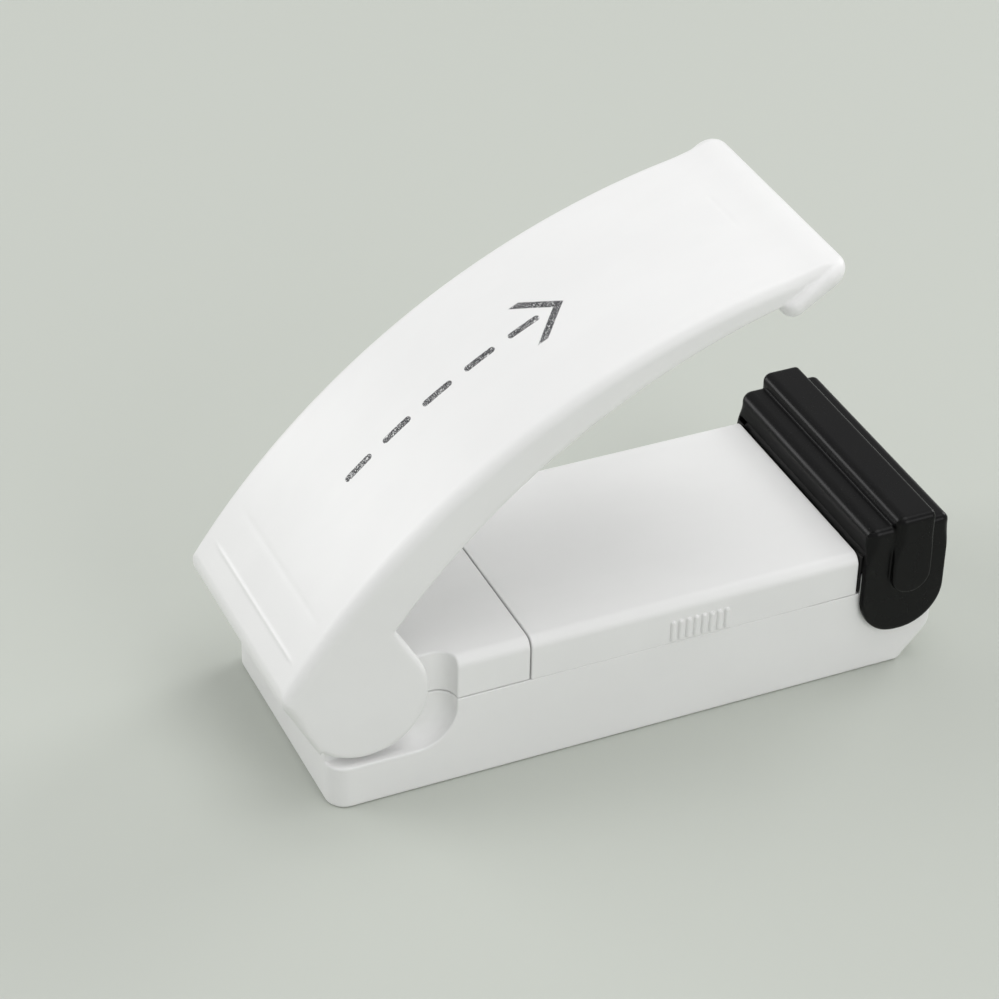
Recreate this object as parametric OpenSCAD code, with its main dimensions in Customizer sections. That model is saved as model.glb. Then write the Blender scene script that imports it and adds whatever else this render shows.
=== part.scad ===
// Handheld bag sealer: a two-cell base, an arched press lever and a flip-off safety cap.
// +X runs from the hinge to the sealing head, +Z is up, and the origin is the middle of the underside.

/* [Cells] */
// Diameter of one cell
cell_d = 14.5; // [13.8:0.1:15]
// Length of one cell with its terminal
cell_l = 50.5; // [48:0.1:54]
// Diameter of the cell's positive terminal
cell_nub_d = 5.4; // [4:0.1:6]
// Height of the cell's positive terminal
cell_nub_h = 1; // [0.6:0.1:1.4]
// Clearance beside, between and below the cells
cell_gap = 0.27; // [0.2:0.01:0.4]
// Clearance between the cells and the battery cover
cover_gap = 0.33; // [0.2:0.01:0.6]

/* [Base] */
// Thickness of the shell walls, the floor and the covers
wall = 1.6; // [1.3:0.05:1.9]
// Length of the rear compartment, from the outside of the rear wall to the cells' bay
rear_bay_l = 17.7; // [17.4:0.1:19]
// Length of the sealing head, from the cells' bay to the front wall
head_l = 11; // [10.8:0.1:12]
// Height of the parting line above the table
parting_z = 12.35; // [12:0.05:13]
// Gap left at the parting line
parting_gap = 0.15; // [0.05:0.05:0.3]
// Length of the rear cover, from the rear wall to the split
rear_cover_l = 25.65; // [23:0.05:30]
// Gap left at the split between the two covers
split_gap = 0.22; // [0.1:0.02:0.4]
// Distance that the battery cover stops short of the head
cover_setback = 0.6; // [0.5:0.05:1]
// Radius of the covers' top edges
edge_r = 1.5; // [1:0.1:2.5]
// Radius of the rear corners
corner_r = 2.5; // [1.5:0.1:2.8]
// Radius of the front corners
front_r = 1; // [0.5:0.1:1.4]
// Smallest radius of an inner corner
least_r = 0.3; // [0.2:0.05:0.5]
// Height of the sloping nose
nose_h = 5; // [4:0.1:5.5]
// Length of the sloping nose
nose_l = 4.4; // [3.5:0.1:5]
// Thickness of the web in front of the cells
web_t = 1.2; // [1:0.1:1.4]
// Radius of the rounded corner of the ear recess
recess_r = 5.1; // [4:0.1:5.5]

/* [Grip ribs] */
// Number of grip ribs on each side of the battery cover
rib_n = 8; // [5:1:10]
// Spacing of the grip ribs
rib_pitch = 1.05; // [0.9:0.05:1.3]
// Radius of one grip rib
rib_r = 0.3; // [0.2:0.02:0.4]
// Length of one grip rib
rib_h = 3.1; // [2:0.1:3.3]
// Distance from the split to the middle of the ribs
rib_in = 22.65; // [18:0.05:28]

/* [Lever] */
// Distance from the rear wall to the hinge
pivot_in = 4.7; // [4.5:0.05:5]
// Depth of the hinge below the top of the covers
pivot_drop = 3.6; // [3.4:0.05:4]
// Radius of the round hinge ears
ear_r = 8.07; // [7.9:0.01:8.2]
// Thickness of the hinge ears and of the lever's side walls
ear_t = 1.9; // [1.6:0.05:2.2]
// Gap between an ear and the base beside it
side_gap = 0.2; // [0.1:0.05:0.3]
// Gap between the rim of an ear and the floor of its recess
ledge_gap = 0.58; // [0.4:0.02:0.8]
// Distance that each side of the lever stands inside the base
lever_inset = 0.4; // [0.2:0.05:0.6]
// Thickness of the lever's top
skin = 1.6; // [1.3:0.05:1.8]
// Radius of the lever's arched top
arch_r = 98; // [92:0.5:110]
// Radius of the lever's arched lower edge
under_r = 89.4; // [84:0.2:96]
// Radius of the lever's long top edges
lever_edge_r = 1.5; // [0.8:0.1:1.5]
// Opening of the lever at rest, from the heater
open_angle = 33; // [31:0.5:34]
// Angle by which the closed cap stops the lever short of the heater
stop_angle = 3.3; // [3.2:0.1:4]
// Radius of the lever's rounded tail
tail_r = 1.1; // [0.9:0.05:1.1]
// Distance from the hinge back to the end of the lever's top
tail_out = 9.95; // [9.7:0.05:10.2]
// Height of the end of the lever's top above the hinge
tail_up = 4.25; // [4.1:0.05:4.4]
// Distance from the end of the lever's top forward to the middle of the tail
tail_in = 0.55; // [0.5:0.05:0.7]
// Depth of the middle of the tail below the end of the lever's top
tail_drop = 1.5; // [1.4:0.05:1.6]
// Length of the wall that closes the tail behind the hinge
tail_wall_l = 5.6; // [5:0.1:6]
// Distance from the hinge forward to the start of the lever's lower edge
under_out = 3.66; // [3.5:0.02:3.8]
// Height of the start of the lever's lower edge above the hinge
under_up = 9.65; // [9.5:0.05:9.8]
// Distance from the jaw bar back to the end of the lever's lower edge
under_back = 2.25; // [2:0.05:2.5]
// Height of the end of the lower edge above the heater, with the lever closed
under_lift = 2.75; // [2.6:0.05:2.9]
// Height of the stiffening ribs under the lever's top
stiffener_h = 1.8; // [1:0.1:2]
// Thickness of the stiffening ribs and of the arm's webs
stiffener_t = 1.2; // [1:0.1:1.6]
// Distance between the stiffening ribs
stiffener_gap = 16; // [14:0.5:20]
// Length of the stiffening ribs
stiffener_l = 48.8; // [40:0.2:50]
// Distance from the end of the lever's top to the stiffening ribs
stiffener_in = 9.8; // [9:0.1:12]

/* [Jaw] */
// Thickness of the jaw bar
jaw_t = 2.1; // [2:0.05:2.4]
// Length of the jaw bar along the lever
jaw_l = 9.4; // [8.8:0.1:9.8]
// Distance of the jaw bar's middle behind the heater's
jaw_back = 0.75; // [0.5:0.05:1]
// Distance from the jaw bar's tip back to the end of the lever's top
tip_back = 1.7; // [1.5:0.05:1.9]
// Distance that the jaw bar stands out past each side of the lever
jaw_flare = 1.1; // [0.8:0.1:1.4]
// Radius of the jaw bar's corners
jaw_corner_r = 2; // [1:0.1:2.5]
// Width of the pressure pad
pad_w = 3.4; // [3.2:0.1:3.8]
// Length of the pressure pad
pad_l = 30; // [28:0.5:31]
// Thickness of the pressure pad
pad_t = 1; // [0.8:0.05:1.2]

/* [Inner arm] */
// Inner radius of the arm that works the spring and the switch
arm_r = 7.2; // [7.1:0.05:7.4]
// Thickness of the arm
arm_t = 1.8; // [1.6:0.05:2]
// Width of the arm
arm_w = 11.4; // [11:0.1:11.6]
// Clearance of the arm in its slot
arm_gap = 0.4; // [0.3:0.05:0.5]
// Angle of the arm's tip above the level of the hinge, at rest
arm_tip_a = 10; // [8:1:12]
// Angle of the arm's upper end above the level of the hinge, at rest
arm_top_a = 74; // [70:1:78]
// Angle of the arm that its webs hold
arm_web_a = 18; // [14:1:22]
// Distance from the hinge forward to the arm's webs, at the lever's top
arm_web_in = 2.5; // [2:0.1:3]
// Length of the arm's webs at the lever's top
arm_web_l = 7; // [6:0.1:8]

/* [Safety cap] */
// Height of the cap's pivot above the table
cap_z = 12; // [11.8:0.05:12.4]
// Distance from the front wall to the cap's pivot
cap_in = 5.25; // [5.1:0.05:5.5]
// Length of the cap
cap_l = 11.5; // [11.3:0.02:11.7]
// Thickness of the cap's ears
cap_ear_t = 0.75; // [0.7:0.05:1.1]
// Gap between an ear of the cap and the base beside it
cap_gap = 0.2; // [0.15:0.05:0.3]
// Thickness of the cap's shoulders
shoulder_t = 1.1; // [0.9:0.05:1.2]
// Height of the raised band above the shoulders
band_h = 1.6; // [1.2:0.1:1.8]
// Distance that the raised band stands out at each side
band_out = 0.85; // [0.7:0.05:1]
// Length of the raised band along the base
band_l = 5.4; // [5:0.1:6]
// Distance of the raised band's middle in front of the cap's pivot
band_fwd = 0.45; // [0:0.05:0.8]
// Distance of the ears' round ends below the cap's pivot
ear_drop = 0.35; // [0:0.05:0.6]
// Radius of the cap's rounded edges
cap_edge_r = 0.8; // [0.5:0.05:0.9]
// Room left between the cap and what it swings past
swing_gap = 0.3; // [0.25:0.05:0.5]
// Height of the cap's rear lip above the battery cover
lip_gap = 0.4; // [0.3:0.05:0.6]

/* [Heater] */
// Radius of the domed head block about the cap's pivot
dome_r = 7.6; // [7.4:0.05:7.8]
// Thickness of the head block's shell
dome_t = 2; // [1.6:0.1:2.2]
// Height of the head block's seat above the cap's pivot
seat_up = 3; // [2.8:0.1:3.4]
// Width of the bar under the ribbon
bar_w = 3.2; // [2.8:0.1:3.4]
// Height of the bar under the ribbon
bar_h = 1.4; // [1.2:0.05:1.6]
// Height that the bar stands out of the head block
bar_proud = 0.25; // [0.2:0.05:0.35]
// Gap between the ends of the bar and the heater posts
bar_end_gap = 0.4; // [0.3:0.05:0.6]
// Width of the heating ribbon
ribbon_w = 1.6; // [1.2:0.1:2]
// Thickness of the heating ribbon
ribbon_t = 0.15; // [0.1:0.05:0.2]
// Width of the ribbon's eyes round the heater posts
eye_w = 0.6; // [0.4:0.05:0.8]
// Thickness of the release tape
tape_t = 0.15; // [0.1:0.05:0.2]
// Diameter of the heater posts
post_d = 2; // [1.6:0.1:2.2]
// Height of the posts' feet above the cap's pivot
post_up = 0.6; // [0.4:0.1:1]
// Width of the post nuts across their flats
nut_w = 3.6; // [3.2:0.1:3.8]
// Thickness of the post nuts
nut_t = 1.2; // [1:0.1:1.4]

/* [Pins and screws] */
// Diameter of the lever's hinge pin
hinge_d = 3; // [2.6:0.1:3.2]
// Depth of the hinge pin's blind hole in each ear
hinge_in = 1.2; // [1:0.05:1.25]
// Diameter of the cap's pivot pins
cap_pin_d = 2.4; // [2:0.1:2.8]
// Depth of the pivot pins' blind holes in the cap
cap_pin_in = 0.5; // [0.4:0.05:0.6]
// Radial clearance of a pin that turns
run_gap = 0.05; // [0.02:0.01:0.1]
// Clearance of a piece that is held still
fit = 0.05; // [0.03:0.01:0.08]
// Clearance of a thin piece that lies on another
lay_gap = 0.01; // [0.005:0.005:0.02]
// Diameter of a case screw's shank
screw_d = 2; // [1.8:0.1:2.2]
// Radial clearance of a case screw in the lower shell
screw_gap = 0.15; // [0.1:0.05:0.2]
// Diameter of a case screw's head
screw_head_d = 3.2; // [3:0.1:3.4]
// Height of a case screw's head
screw_head_h = 1.2; // [1:0.1:1.4]
// Length of the cross recess in a screw's head
drive_l = 1.9; // [1.6:0.1:2.1]
// Width of the cross recess in a screw's head
drive_w = 0.5; // [0.4:0.05:0.6]
// Depth of the screw heads' counterbores
bore_depth = 2.4; // [2:0.1:2.8]
// Diameter of the screw bosses
boss_d = 4.8; // [4.4:0.1:4.9]
// Depth of the bosses' joints below the parting line and the head's seat
boss_drop = 1.8; // [1.4:0.1:2.2]
// Distance from the hinge forward to the rear case screws
rear_screw_in = 4.3; // [4.2:0.05:4.4]
// Distance between the front case screws
front_screw_span = 14; // [13:0.5:15]

/* [Contacts and switch] */
// Thickness of the contact plates
plate_t = 0.4; // [0.3:0.05:0.5]
// Width of a contact plate
plate_w = 7.8; // [6.6:0.1:8.2]
// Height of a contact plate
plate_h = 11.2; // [9.6:0.1:11.6]
// Overlap of the negative plate and its tab
tab_lap = 1; // [0.8:0.1:1.4]
// Height of the cells' contact springs as fitted
contact_h = 1.7; // [1.5:0.1:2.2]
// Wire radius of the contact springs
contact_wire_r = 0.3; // [0.2:0.02:0.3]
// Radius of a contact spring at its plate
contact_wide_r = 4.2; // [4:0.1:4.6]
// Radius of a contact spring at its cell
contact_tip_r = 2.2; // [1.8:0.1:2.3]
// Turns of a contact spring
contact_n = 2; // [1:1:2]
// Thickness of the switch's sheet metal
leaf_t = 0.3; // [0.25:0.05:0.4]
// Width of the switch's sheet metal
leaf_w = 2.4; // [2:0.1:2.6]
// Height of the post that holds the switch leaf
leaf_post_h = 8.4; // [8:0.1:9]
// Distance from that post to the bend of the leaf
leaf_bend_l = 1.5; // [1.2:0.1:2]
// Depth of the leaf's tip below the arm's tip
leaf_drop = 0.5; // [0.4:0.05:0.8]
// Length of the switch's fixed contact
contact_l = 1.8; // [1.4:0.1:2]
// Room between the pressed leaf and the fixed contact
press_gap = 0.4; // [0.3:0.05:0.6]
// Diameter of the posts under the switch
switch_post_d = 2.4; // [2:0.1:2.8]

/* [Return spring] */
// Mean radius of the return spring
spring_r = 1.95; // [1.8:0.05:2.1]
// Wire radius of the return spring
spring_wire_r = 0.35; // [0.3:0.02:0.4]
// Turns of the return spring
spring_n = 6; // [5:1:7]
// Room between the return spring and the bulkhead in front of it
spring_gap = 1.12; // [0.7:0.02:1.6]
// Height of the return spring's seat above the table
spring_seat_h = 4.6; // [4:0.1:5]
// Height of the peg inside the return spring
peg_h = 2.4; // [1.6:0.1:3]
// Room between the return spring and its peg
peg_gap = 0.3; // [0.2:0.05:0.4]

/* [Leads] */
// Radius of the leads
lead_r = 0.55; // [0.45:0.05:0.55]
// Clearance of a lead in its hole and beside a wall
lead_gap = 0.15; // [0.1:0.01:0.2]
// Height of the jumper above the other leads
jumper_up = 4; // [3.6:0.1:4.6]

/* [Hidden] */
$fn = 96;
arch_fn = 240;
sector_n = 12;
rib_fn = 24;
over = 1;
coil_sides = 6;
lead_sides = 8;
rings_per_turn = 16;
// Rings between two points of a coil that count as lying on different turns
turn_apart = 10;
least_coil_gap = 0.4;
// Reference direction of the leads' rings, along none of their runs
lead_ref = [0.31, 0.23, 0.92];

// Base
bay_l = 2 * fit + 2 * plate_t + contact_h + cell_l;
base_l = rear_bay_l + bay_l + head_l;
base_w = 2 * cell_d + 3 * cell_gap + 2 * wall;
base_h = 2 * wall + cell_gap + cell_d + cover_gap;
half_w = base_w / 2;
rear_x = -base_l / 2;
front_x = base_l / 2;
cells_x = rear_x + rear_bay_l;
web_x = cells_x + bay_l;
split_x = rear_x + rear_cover_l;
cover_x = web_x - cover_setback;
recess_x = cells_x - wall;
recess_y = half_w - lever_inset - ear_t - side_gap;
inner_half = half_w - wall;
rear_half = recess_y - wall;
cell_y = (cell_d + cell_gap) / 2;
cell_z = wall + cell_gap + cell_d / 2;

// Hinge of the lever and its recesses
pivot = [rear_x + pivot_in, base_h - pivot_drop];
ledge_z = pivot.y - ear_r - ledge_gap;
lever_half = half_w - lever_inset;
ear_y = lever_half - ear_t;

// Safety cap
cap_x = front_x - cap_in;
cap_half = cap_l / 2;
cap_ear_y = half_w + cap_gap;
cap_out = cap_ear_y + cap_ear_t;
band_y = cap_out + band_out;
nose_d = (cap_in * nose_h + (cap_z - nose_h) * nose_l) / norm([nose_h, nose_l]);
ceiling_z = cap_z + nose_d + swing_gap;
shoulder_z = ceiling_z + shoulder_t;
band_z = shoulder_z + band_h;
cap_pin_end = cap_ear_y + cap_pin_in - 2 * fit;

// Heater
seat_z = cap_z + seat_up;
bar_z = cap_z + dome_r + bar_proud;
ribbon_z = bar_z + ribbon_t;
heater_z = ribbon_z + tape_t;
lip_r = norm([bar_w / 2, heater_z - cap_z]) + swing_gap;
lead_y = rear_half - lead_r - lead_gap;
lead_z = wall + lead_r + fit;
post_y = lead_y;
post_low = cap_z + post_up;
bar_half = post_y - post_d / 2 - bar_end_gap;
nut_r = nut_w / 2 / cos(30);
nut_z = cap_z + sqrt((dome_r - dome_t) * (dome_r - dome_t) - nut_r * nut_r) - nut_t - fit;

// Case screws
rear_screw = [pivot.x + rear_screw_in, (arm_w / 2 + arm_gap + lead_y - lead_r) / 2];
front_screw = [web_x + web_t + boss_d / 2 + 2 * fit, front_screw_span / 2];
rear_boss_top = parting_z - boss_drop;
front_boss_top = seat_z - boss_drop;
rear_screw_tip = base_h - 2 * wall;
front_screw_tip = seat_z + wall / 2;

// Turns a vector of the side view
function turned(v, a) = [v.x * cos(a) - v.y * sin(a), v.x * sin(a) + v.y * cos(a)];
// Turns a point of the side view about the hinge, from the closed lever to the lever at rest
function opened(p) = pivot + turned(p - pivot, open_angle);
function polar(r, a) = [r * cos(a), r * sin(a)];
function unit(v) = v / norm(v);
function bearing(c, p) = atan2(p.y - c.y, p.x - c.x);
// Centre of the arc of radius r that rises from a to b and bulges up and back
function arc_centre(a, b, r) =
    let (d = b - a, n = unit([d.y, -d.x]))
    (a + b) / 2 + n * sqrt(r * r - d * d / 4);
// Point where the tangent from p meets the circle, on the left or the right of the line to its centre
function tangent_point(p, c, r, side) =
    let (d = p - c, a = acos(r / norm(d)))
    c + turned(unit(d) * r, side * a);
// Angle that a length covers on the lever's arched top
function arch_angle(l) = l / arch_r * 180 / PI;
// Point of the side view at x, that lies depth below the lever's arched top
function skin_at(x, depth) =
    [x, arch_c.y + sqrt((arch_r - depth) * (arch_r - depth) - (x - arch_c.x) * (x - arch_c.x))];

// Lever and jaw
jaw_x0 = cap_x - jaw_l / 2 - jaw_back;
jaw_x1 = jaw_x0 + jaw_l;
jaw_half = lever_half + jaw_flare;
tail_top = pivot + [-tail_out, tail_up];
tip_top = opened([jaw_x1 - tip_back, heater_z + jaw_t]);
arch_c = arc_centre(tail_top, tip_top, arch_r);
arch_start = bearing(arch_c, tip_top);
arch_end = bearing(arch_c, tail_top);
under_a = pivot + [under_out, under_up];
under_b = opened([jaw_x0 - under_back, heater_z + under_lift]);
under_c = arc_centre(under_a, under_b, under_r);
// Depth of the arch's section, which reaches past the hinge ears
arch_depth = arch_r - norm(pivot - arch_c) + ear_r + over;
tail_c = tail_top + [tail_in, -tail_drop];
tail_low = tangent_point(tail_c, pivot, ear_r - tail_r, 1);

// Inner arm, return spring and switch
arm_out = arm_r + arm_t;
arm_far = 3 * arm_out;
arm_mid_x = pivot.x + (arm_r + arm_t / 2) * cos(arm_tip_a);
arm_tip_z = pivot.y + arm_r * sin(arm_tip_a);
arm_low_z = pivot.y - arm_out * sin(open_angle - stop_angle - arm_tip_a);
slot_x0 = pivot.x + sqrt(arm_r * arm_r - pivot_drop * pivot_drop) - arm_gap;
slot_x1 = pivot.x + sqrt(arm_out * arm_out - (pivot_drop - wall) * (pivot_drop - wall)) + arm_gap;
slot_y = arm_w / 2 + arm_gap;
spring_out_r = spring_r + spring_wire_r;
spring_at = [recess_x - spring_gap - spring_out_r, 2 * fit + spring_out_r - arm_w / 2];
spring_h = arm_tip_z - spring_seat_h - 2 * spring_wire_r - 2 * fit;
leaf_y = arm_w / 2 - leaf_w / 2 - 2 * fit;
leaf_z = leaf_post_h + fit + leaf_t / 2;
contact_top = arm_low_z - leaf_t - press_gap;

// Contact plates and the routes of the leads
plate_x = web_x - fit - plate_t;
plate_z0 = cell_z - plate_h / 2;
plate_z1 = cell_z + plate_h / 2;
plate_half = cell_y + plate_w / 2;
plate_in = cell_y - plate_w / 2;
jumper_y = front_screw.y - boss_d / 2 - lead_r - lead_gap;
jumper_z = lead_z + jumper_up;
black_x = rear_x + wall + lead_r + 2 * lead_gap;
black_route = [
    [plate_x - 2 * fit, -lead_y, lead_z],
    [cells_x, -lead_y, lead_z],
    [black_x + 3, -lead_y, lead_z],
    [black_x + 1.2, 0.4 - lead_y, lead_z],
    [black_x + 0.2, 1.6 - lead_y, lead_z],
    [black_x, 3 - lead_y, lead_z],
    [black_x, leaf_y - 2.4, lead_z],
    [black_x, leaf_y - 0.9, lead_z + 0.4],
    [black_x, leaf_y - 0.2, lead_z + 1.4],
    [black_x, leaf_y, lead_z + 2.8],
    [black_x, leaf_y, leaf_post_h - fit]];
red_route = [
    [arm_mid_x - 0.6, lead_y, lead_z],
    [cells_x, lead_y, lead_z],
    [web_x + web_t, lead_y, lead_z],
    [cap_x - 1.8, lead_y, lead_z + 0.1],
    [cap_x - 0.6, lead_y, lead_z + 0.8],
    [cap_x - 0.1, lead_y, lead_z + 2],
    [cap_x, lead_y, lead_z + 3.4],
    [cap_x, lead_y, post_low - fit]];
jumper_route = [
    [web_x, jumper_y, jumper_z],
    [web_x + web_t, jumper_y, jumper_z],
    [cap_x - 1, jumper_y, jumper_z],
    [cap_x + 0.8, jumper_y - 0.4, jumper_z],
    [cap_x + 2, jumper_y - 1.6, jumper_z],
    [cap_x + 2.4, jumper_y - 3.4, jumper_z],
    [cap_x + 2.4, 3.4 - lead_y, jumper_z],
    [cap_x + 2, 1.6 - lead_y, jumper_z + 0.2],
    [cap_x + 1, 0.5 - lead_y, jumper_z + 0.8],
    [cap_x + 0.2, 0.1 - lead_y, jumper_z + 2],
    [cap_x, -lead_y, jumper_z + 3.4],
    [cap_x, -lead_y, post_low - fit]];

// Extrudes a side view (x forward, y up) across the width w, centred on y
module across(w, y = 0)
    translate([0, y + w / 2, 0])
        rotate([90, 0, 0])
            linear_extrude(w)
                children();

// The same side view on both sides, from y0 out to y1
module both_sides(y0, y1)
    for (s = [-1, 1])
        across(y1 - y0, s * (y0 + y1) / 2)
            children();

// Extrudes a front view (x across, y up) from x0 to x1
module along(x0, x1)
    translate([x0, 0, 0])
        rotate([90, 0, 90])
            linear_extrude(x1 - x0)
                children();

// A box given by two opposite corners
module block(a, b)
    translate(a)
        cube(b - a);

// A rectangle given by two opposite corners
module panel(a, b)
    translate(a)
        square(b - a);

// A rectangle with its two upper corners rounded
module arched_panel(a, b, r) {
    panel(a, [b.x, b.y - r]);
    panel([a.x + r, a.y], [b.x - r, b.y]);
    for (x = [a.x + r, b.x - r])
        translate([x, b.y - r])
            circle(r);
}

// A rectangle with all its corners rounded
module rounded_panel(a, b, r) {
    panel([a.x, a.y + r], [b.x, b.y - r]);
    panel([a.x + r, a.y], [b.x - r, b.y]);
    for (x = [a.x + r, b.x - r])
        for (y = [a.y + r, b.y - r])
            translate([x, y])
                circle(r);
}

// A bar with round ends between two points
module capsule(a, b, r) {
    for (p = [a, b])
        translate(p)
            circle(r);
    translate(a)
        rotate(bearing(a, b))
            translate([0, -r])
                square([norm(b - a), 2 * r]);
}

// A cylinder along y, of length h, centred on y
module cross_pin(at, d, h, y = 0)
    translate([at.x, y, at.y])
        rotate([90, 0, 0])
            cylinder(d = d, h = h, center = true);

// A cylinder along y on each side, from y0 out to y1
module side_pins(at, d, y0, y1)
    for (s = [-1, 1])
        cross_pin(at, d, y1 - y0, s * (y0 + y1) / 2);

// Points of a coil that climbs h in n turns, with its radius going from r0 to r1
function coil(r0, r1, h, n) =
    [for (i = [0 : n * rings_per_turn])
        let (t = i / (n * rings_per_turn), r = r0 + (r1 - r0) * t)
        [r * cos(360 * n * t), r * sin(360 * n * t), h * t]];

// Least gap between one turn of a coil and the next, measured on its points
function coil_gap(path, wire_r) =
    min([for (i = [0 : len(path) - 1 - turn_apart])
        for (j = [i + turn_apart : len(path) - 1])
            norm(path[i] - path[j])]) - 2 * wire_r;

// One unbroken tube swept along a path, with its rings set square to it
module tube(path, r, ref, sides) {
    last = len(path) - 1;
    rings = [for (i = [0 : last])
        let (t = unit(path[min(i + 1, last)] - path[max(i - 1, 0)]),
             u = unit(cross(ref, t)),
             v = cross(t, u))
        for (k = [0 : sides - 1])
            path[i] + r * (cos(360 * k / sides) * u + sin(360 * k / sides) * v)];
    skin_faces = [for (i = [0 : last - 1])
        for (k = [0 : sides - 1])
            let (a = i * sides + k, b = i * sides + (k + 1) % sides)
            each [[a, b + sides, b], [a, a + sides, b + sides]]];
    start_face = [for (k = [1 : sides - 2]) [0, k, k + 1]];
    end_face = [for (k = [1 : sides - 2]) [last * sides, last * sides + k + 1, last * sides + k]];
    polyhedron(rings, concat(skin_faces, start_face, end_face));
}

// A wire wound along a coil's path
module wound_wire(path, wire_r) {
    gap = coil_gap(path, wire_r);
    echo(coil_gap = gap, wide_enough = gap > least_coil_gap);
    tube(path, wire_r, [0, 0, 1], coil_sides);
}

// Plan of the base, drawn in by inset
module base_plan(inset) {
    r = max(corner_r - inset, least_r);
    f = max(front_r - inset, least_r);
    y = half_w - inset;
    panel([rear_x + inset + r, -y], [front_x - inset - f, y]);
    panel([rear_x + inset, -y + r], [0, y - r]);
    panel([0, -y + f], [front_x - inset, y - f]);
    for (s = [-1, 1]) {
        translate([rear_x + inset + r, s * (y - r)])
            circle(r);
        translate([front_x - inset - f, s * (y - f)])
            circle(f);
    }
}

// Side view of the recess that holds an ear of the lever
module ear_recess() {
    top = base_h + over;
    panel([rear_x - over, ledge_z], [recess_x - recess_r, top]);
    panel([rear_x - over, ledge_z + recess_r], [recess_x, top]);
    translate([recess_x - recess_r, ledge_z + recess_r])
        circle(recess_r);
}

// One hole for a lead, through a wall of thickness t behind x
module lead_hole(x, y, z, t)
    translate([x - over, y, z])
        rotate([0, 90, 0])
            cylinder(r = lead_r + lead_gap, h = t + 2 * over);

// Places children at the rear case screws
module at_rear_screws()
    for (s = [-1, 1])
        translate([rear_screw.x, s * rear_screw.y, 0])
            children();

// Places children at the front case screws
module at_front_screws()
    for (s = [-1, 1])
        translate([front_screw.x, s * front_screw.y, 0])
            children();

// Clearance for one case screw and its head in the lower shell
module screw_hole() {
    translate([0, 0, -over])
        cylinder(d = screw_head_d + 2 * screw_gap, h = bore_depth + over);
    cylinder(d = screw_d + 2 * screw_gap, h = base_h);
}

module lower_shell() color("whitesmoke")
    difference() {
        union() {
            lower_walls();
            lower_posts();
        }
        both_sides(recess_y, half_w + over)
            ear_recess();
        at_rear_screws()
            screw_hole();
        at_front_screws()
            screw_hole();
        for (s = [-1, 1])
            lead_hole(recess_x, s * lead_y, lead_z, wall);
        lead_hole(web_x, lead_y, lead_z, web_t);
        lead_hole(web_x, jumper_y, jumper_z, web_t);
        side_pins([cap_x, cap_z], cap_pin_d + 2 * fit, inner_half - fit, half_w + over);
    }

// Walls, floor, bulkhead and head of the lower shell
module lower_walls()
    difference() {
        union() {
            linear_extrude(parting_z)
                base_plan(0);
            intersection() {
                linear_extrude(seat_z)
                    base_plan(0);
                block([web_x, -half_w, 0], [front_x, half_w, seat_z]);
            }
        }
        block([rear_x + wall, -rear_half, wall], [recess_x, rear_half, base_h]);
        block([cells_x, -inner_half, wall], [web_x, inner_half, base_h]);
        across(2 * inner_half)
            difference() {
                panel([web_x + web_t, wall], [front_x - wall, base_h]);
                nose_cut(wall);
            }
        across(base_w + 2 * over)
            nose_cut(0);
    }

// Side view of what the sloping nose takes off, moved in by t
module nose_cut(t) {
    slope = unit([nose_l, nose_h]);
    inward = [-slope.y, slope.x] * t;
    a = [front_x - nose_l, 0] + inward - slope * 2 * wall;
    b = [front_x, nose_h] + inward + slope * 2 * wall;
    polygon([a, b, b + [4 * wall, 0], [b.x + 4 * wall, a.y]]);
}

// Bosses, spring seat and switch posts that stand on the lower shell's floor
module lower_posts() {
    at_rear_screws()
        cylinder(d = boss_d, h = rear_boss_top);
    at_front_screws()
        cylinder(d = boss_d, h = front_boss_top);
    translate(spring_at) {
        cylinder(r = spring_out_r + peg_gap, h = spring_seat_h - fit);
        cylinder(r = spring_r - spring_wire_r - peg_gap, h = spring_seat_h + peg_h);
    }
    translate([pivot.x, leaf_y, 0])
        cylinder(d = switch_post_d, h = leaf_post_h);
    translate([arm_mid_x, leaf_y, 0])
        cylinder(d = switch_post_d, h = contact_top - leaf_t);
}

// Cross-section of both upper covers, drawn in by inset
module cover_section(inset) {
    y = half_w - inset;
    z0 = inset > 0 ? 0 : parting_z + parting_gap;
    arched_panel([-y, z0], [y, base_h - inset], max(edge_r - inset, least_r));
}

module rear_cover() color("whitesmoke")
    difference() {
        union() {
            rear_cover_shell(split_x - split_gap / 2);
            at_rear_screws()
                translate([0, 0, rear_boss_top + fit])
                    cylinder(d = boss_d, h = base_h - wall / 2 - rear_boss_top);
        }
        both_sides(recess_y, half_w + over)
            ear_recess();
        at_rear_screws()
            cylinder(d = screw_d + 2 * fit, h = rear_screw_tip + fit);
        cross_pin(pivot, hinge_d + 2 * fit, base_w);
        block([slot_x0, -slot_y, pivot.y], [slot_x1, slot_y, base_h + over]);
    }

// Hollow upper cover from the rear wall to x1
module rear_cover_shell(x1)
    difference() {
        intersection() {
            along(rear_x, x1)
                cover_section(0);
            linear_extrude(base_h)
                base_plan(0);
            across(base_w)
                arched_panel([rear_x, 0], [split_x + 2 * edge_r, base_h], edge_r);
        }
        block([rear_x + wall, -rear_half, 0], [cells_x + over, rear_half, base_h - wall]);
        along(cells_x, x1 + over)
            cover_section(wall);
    }

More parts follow.
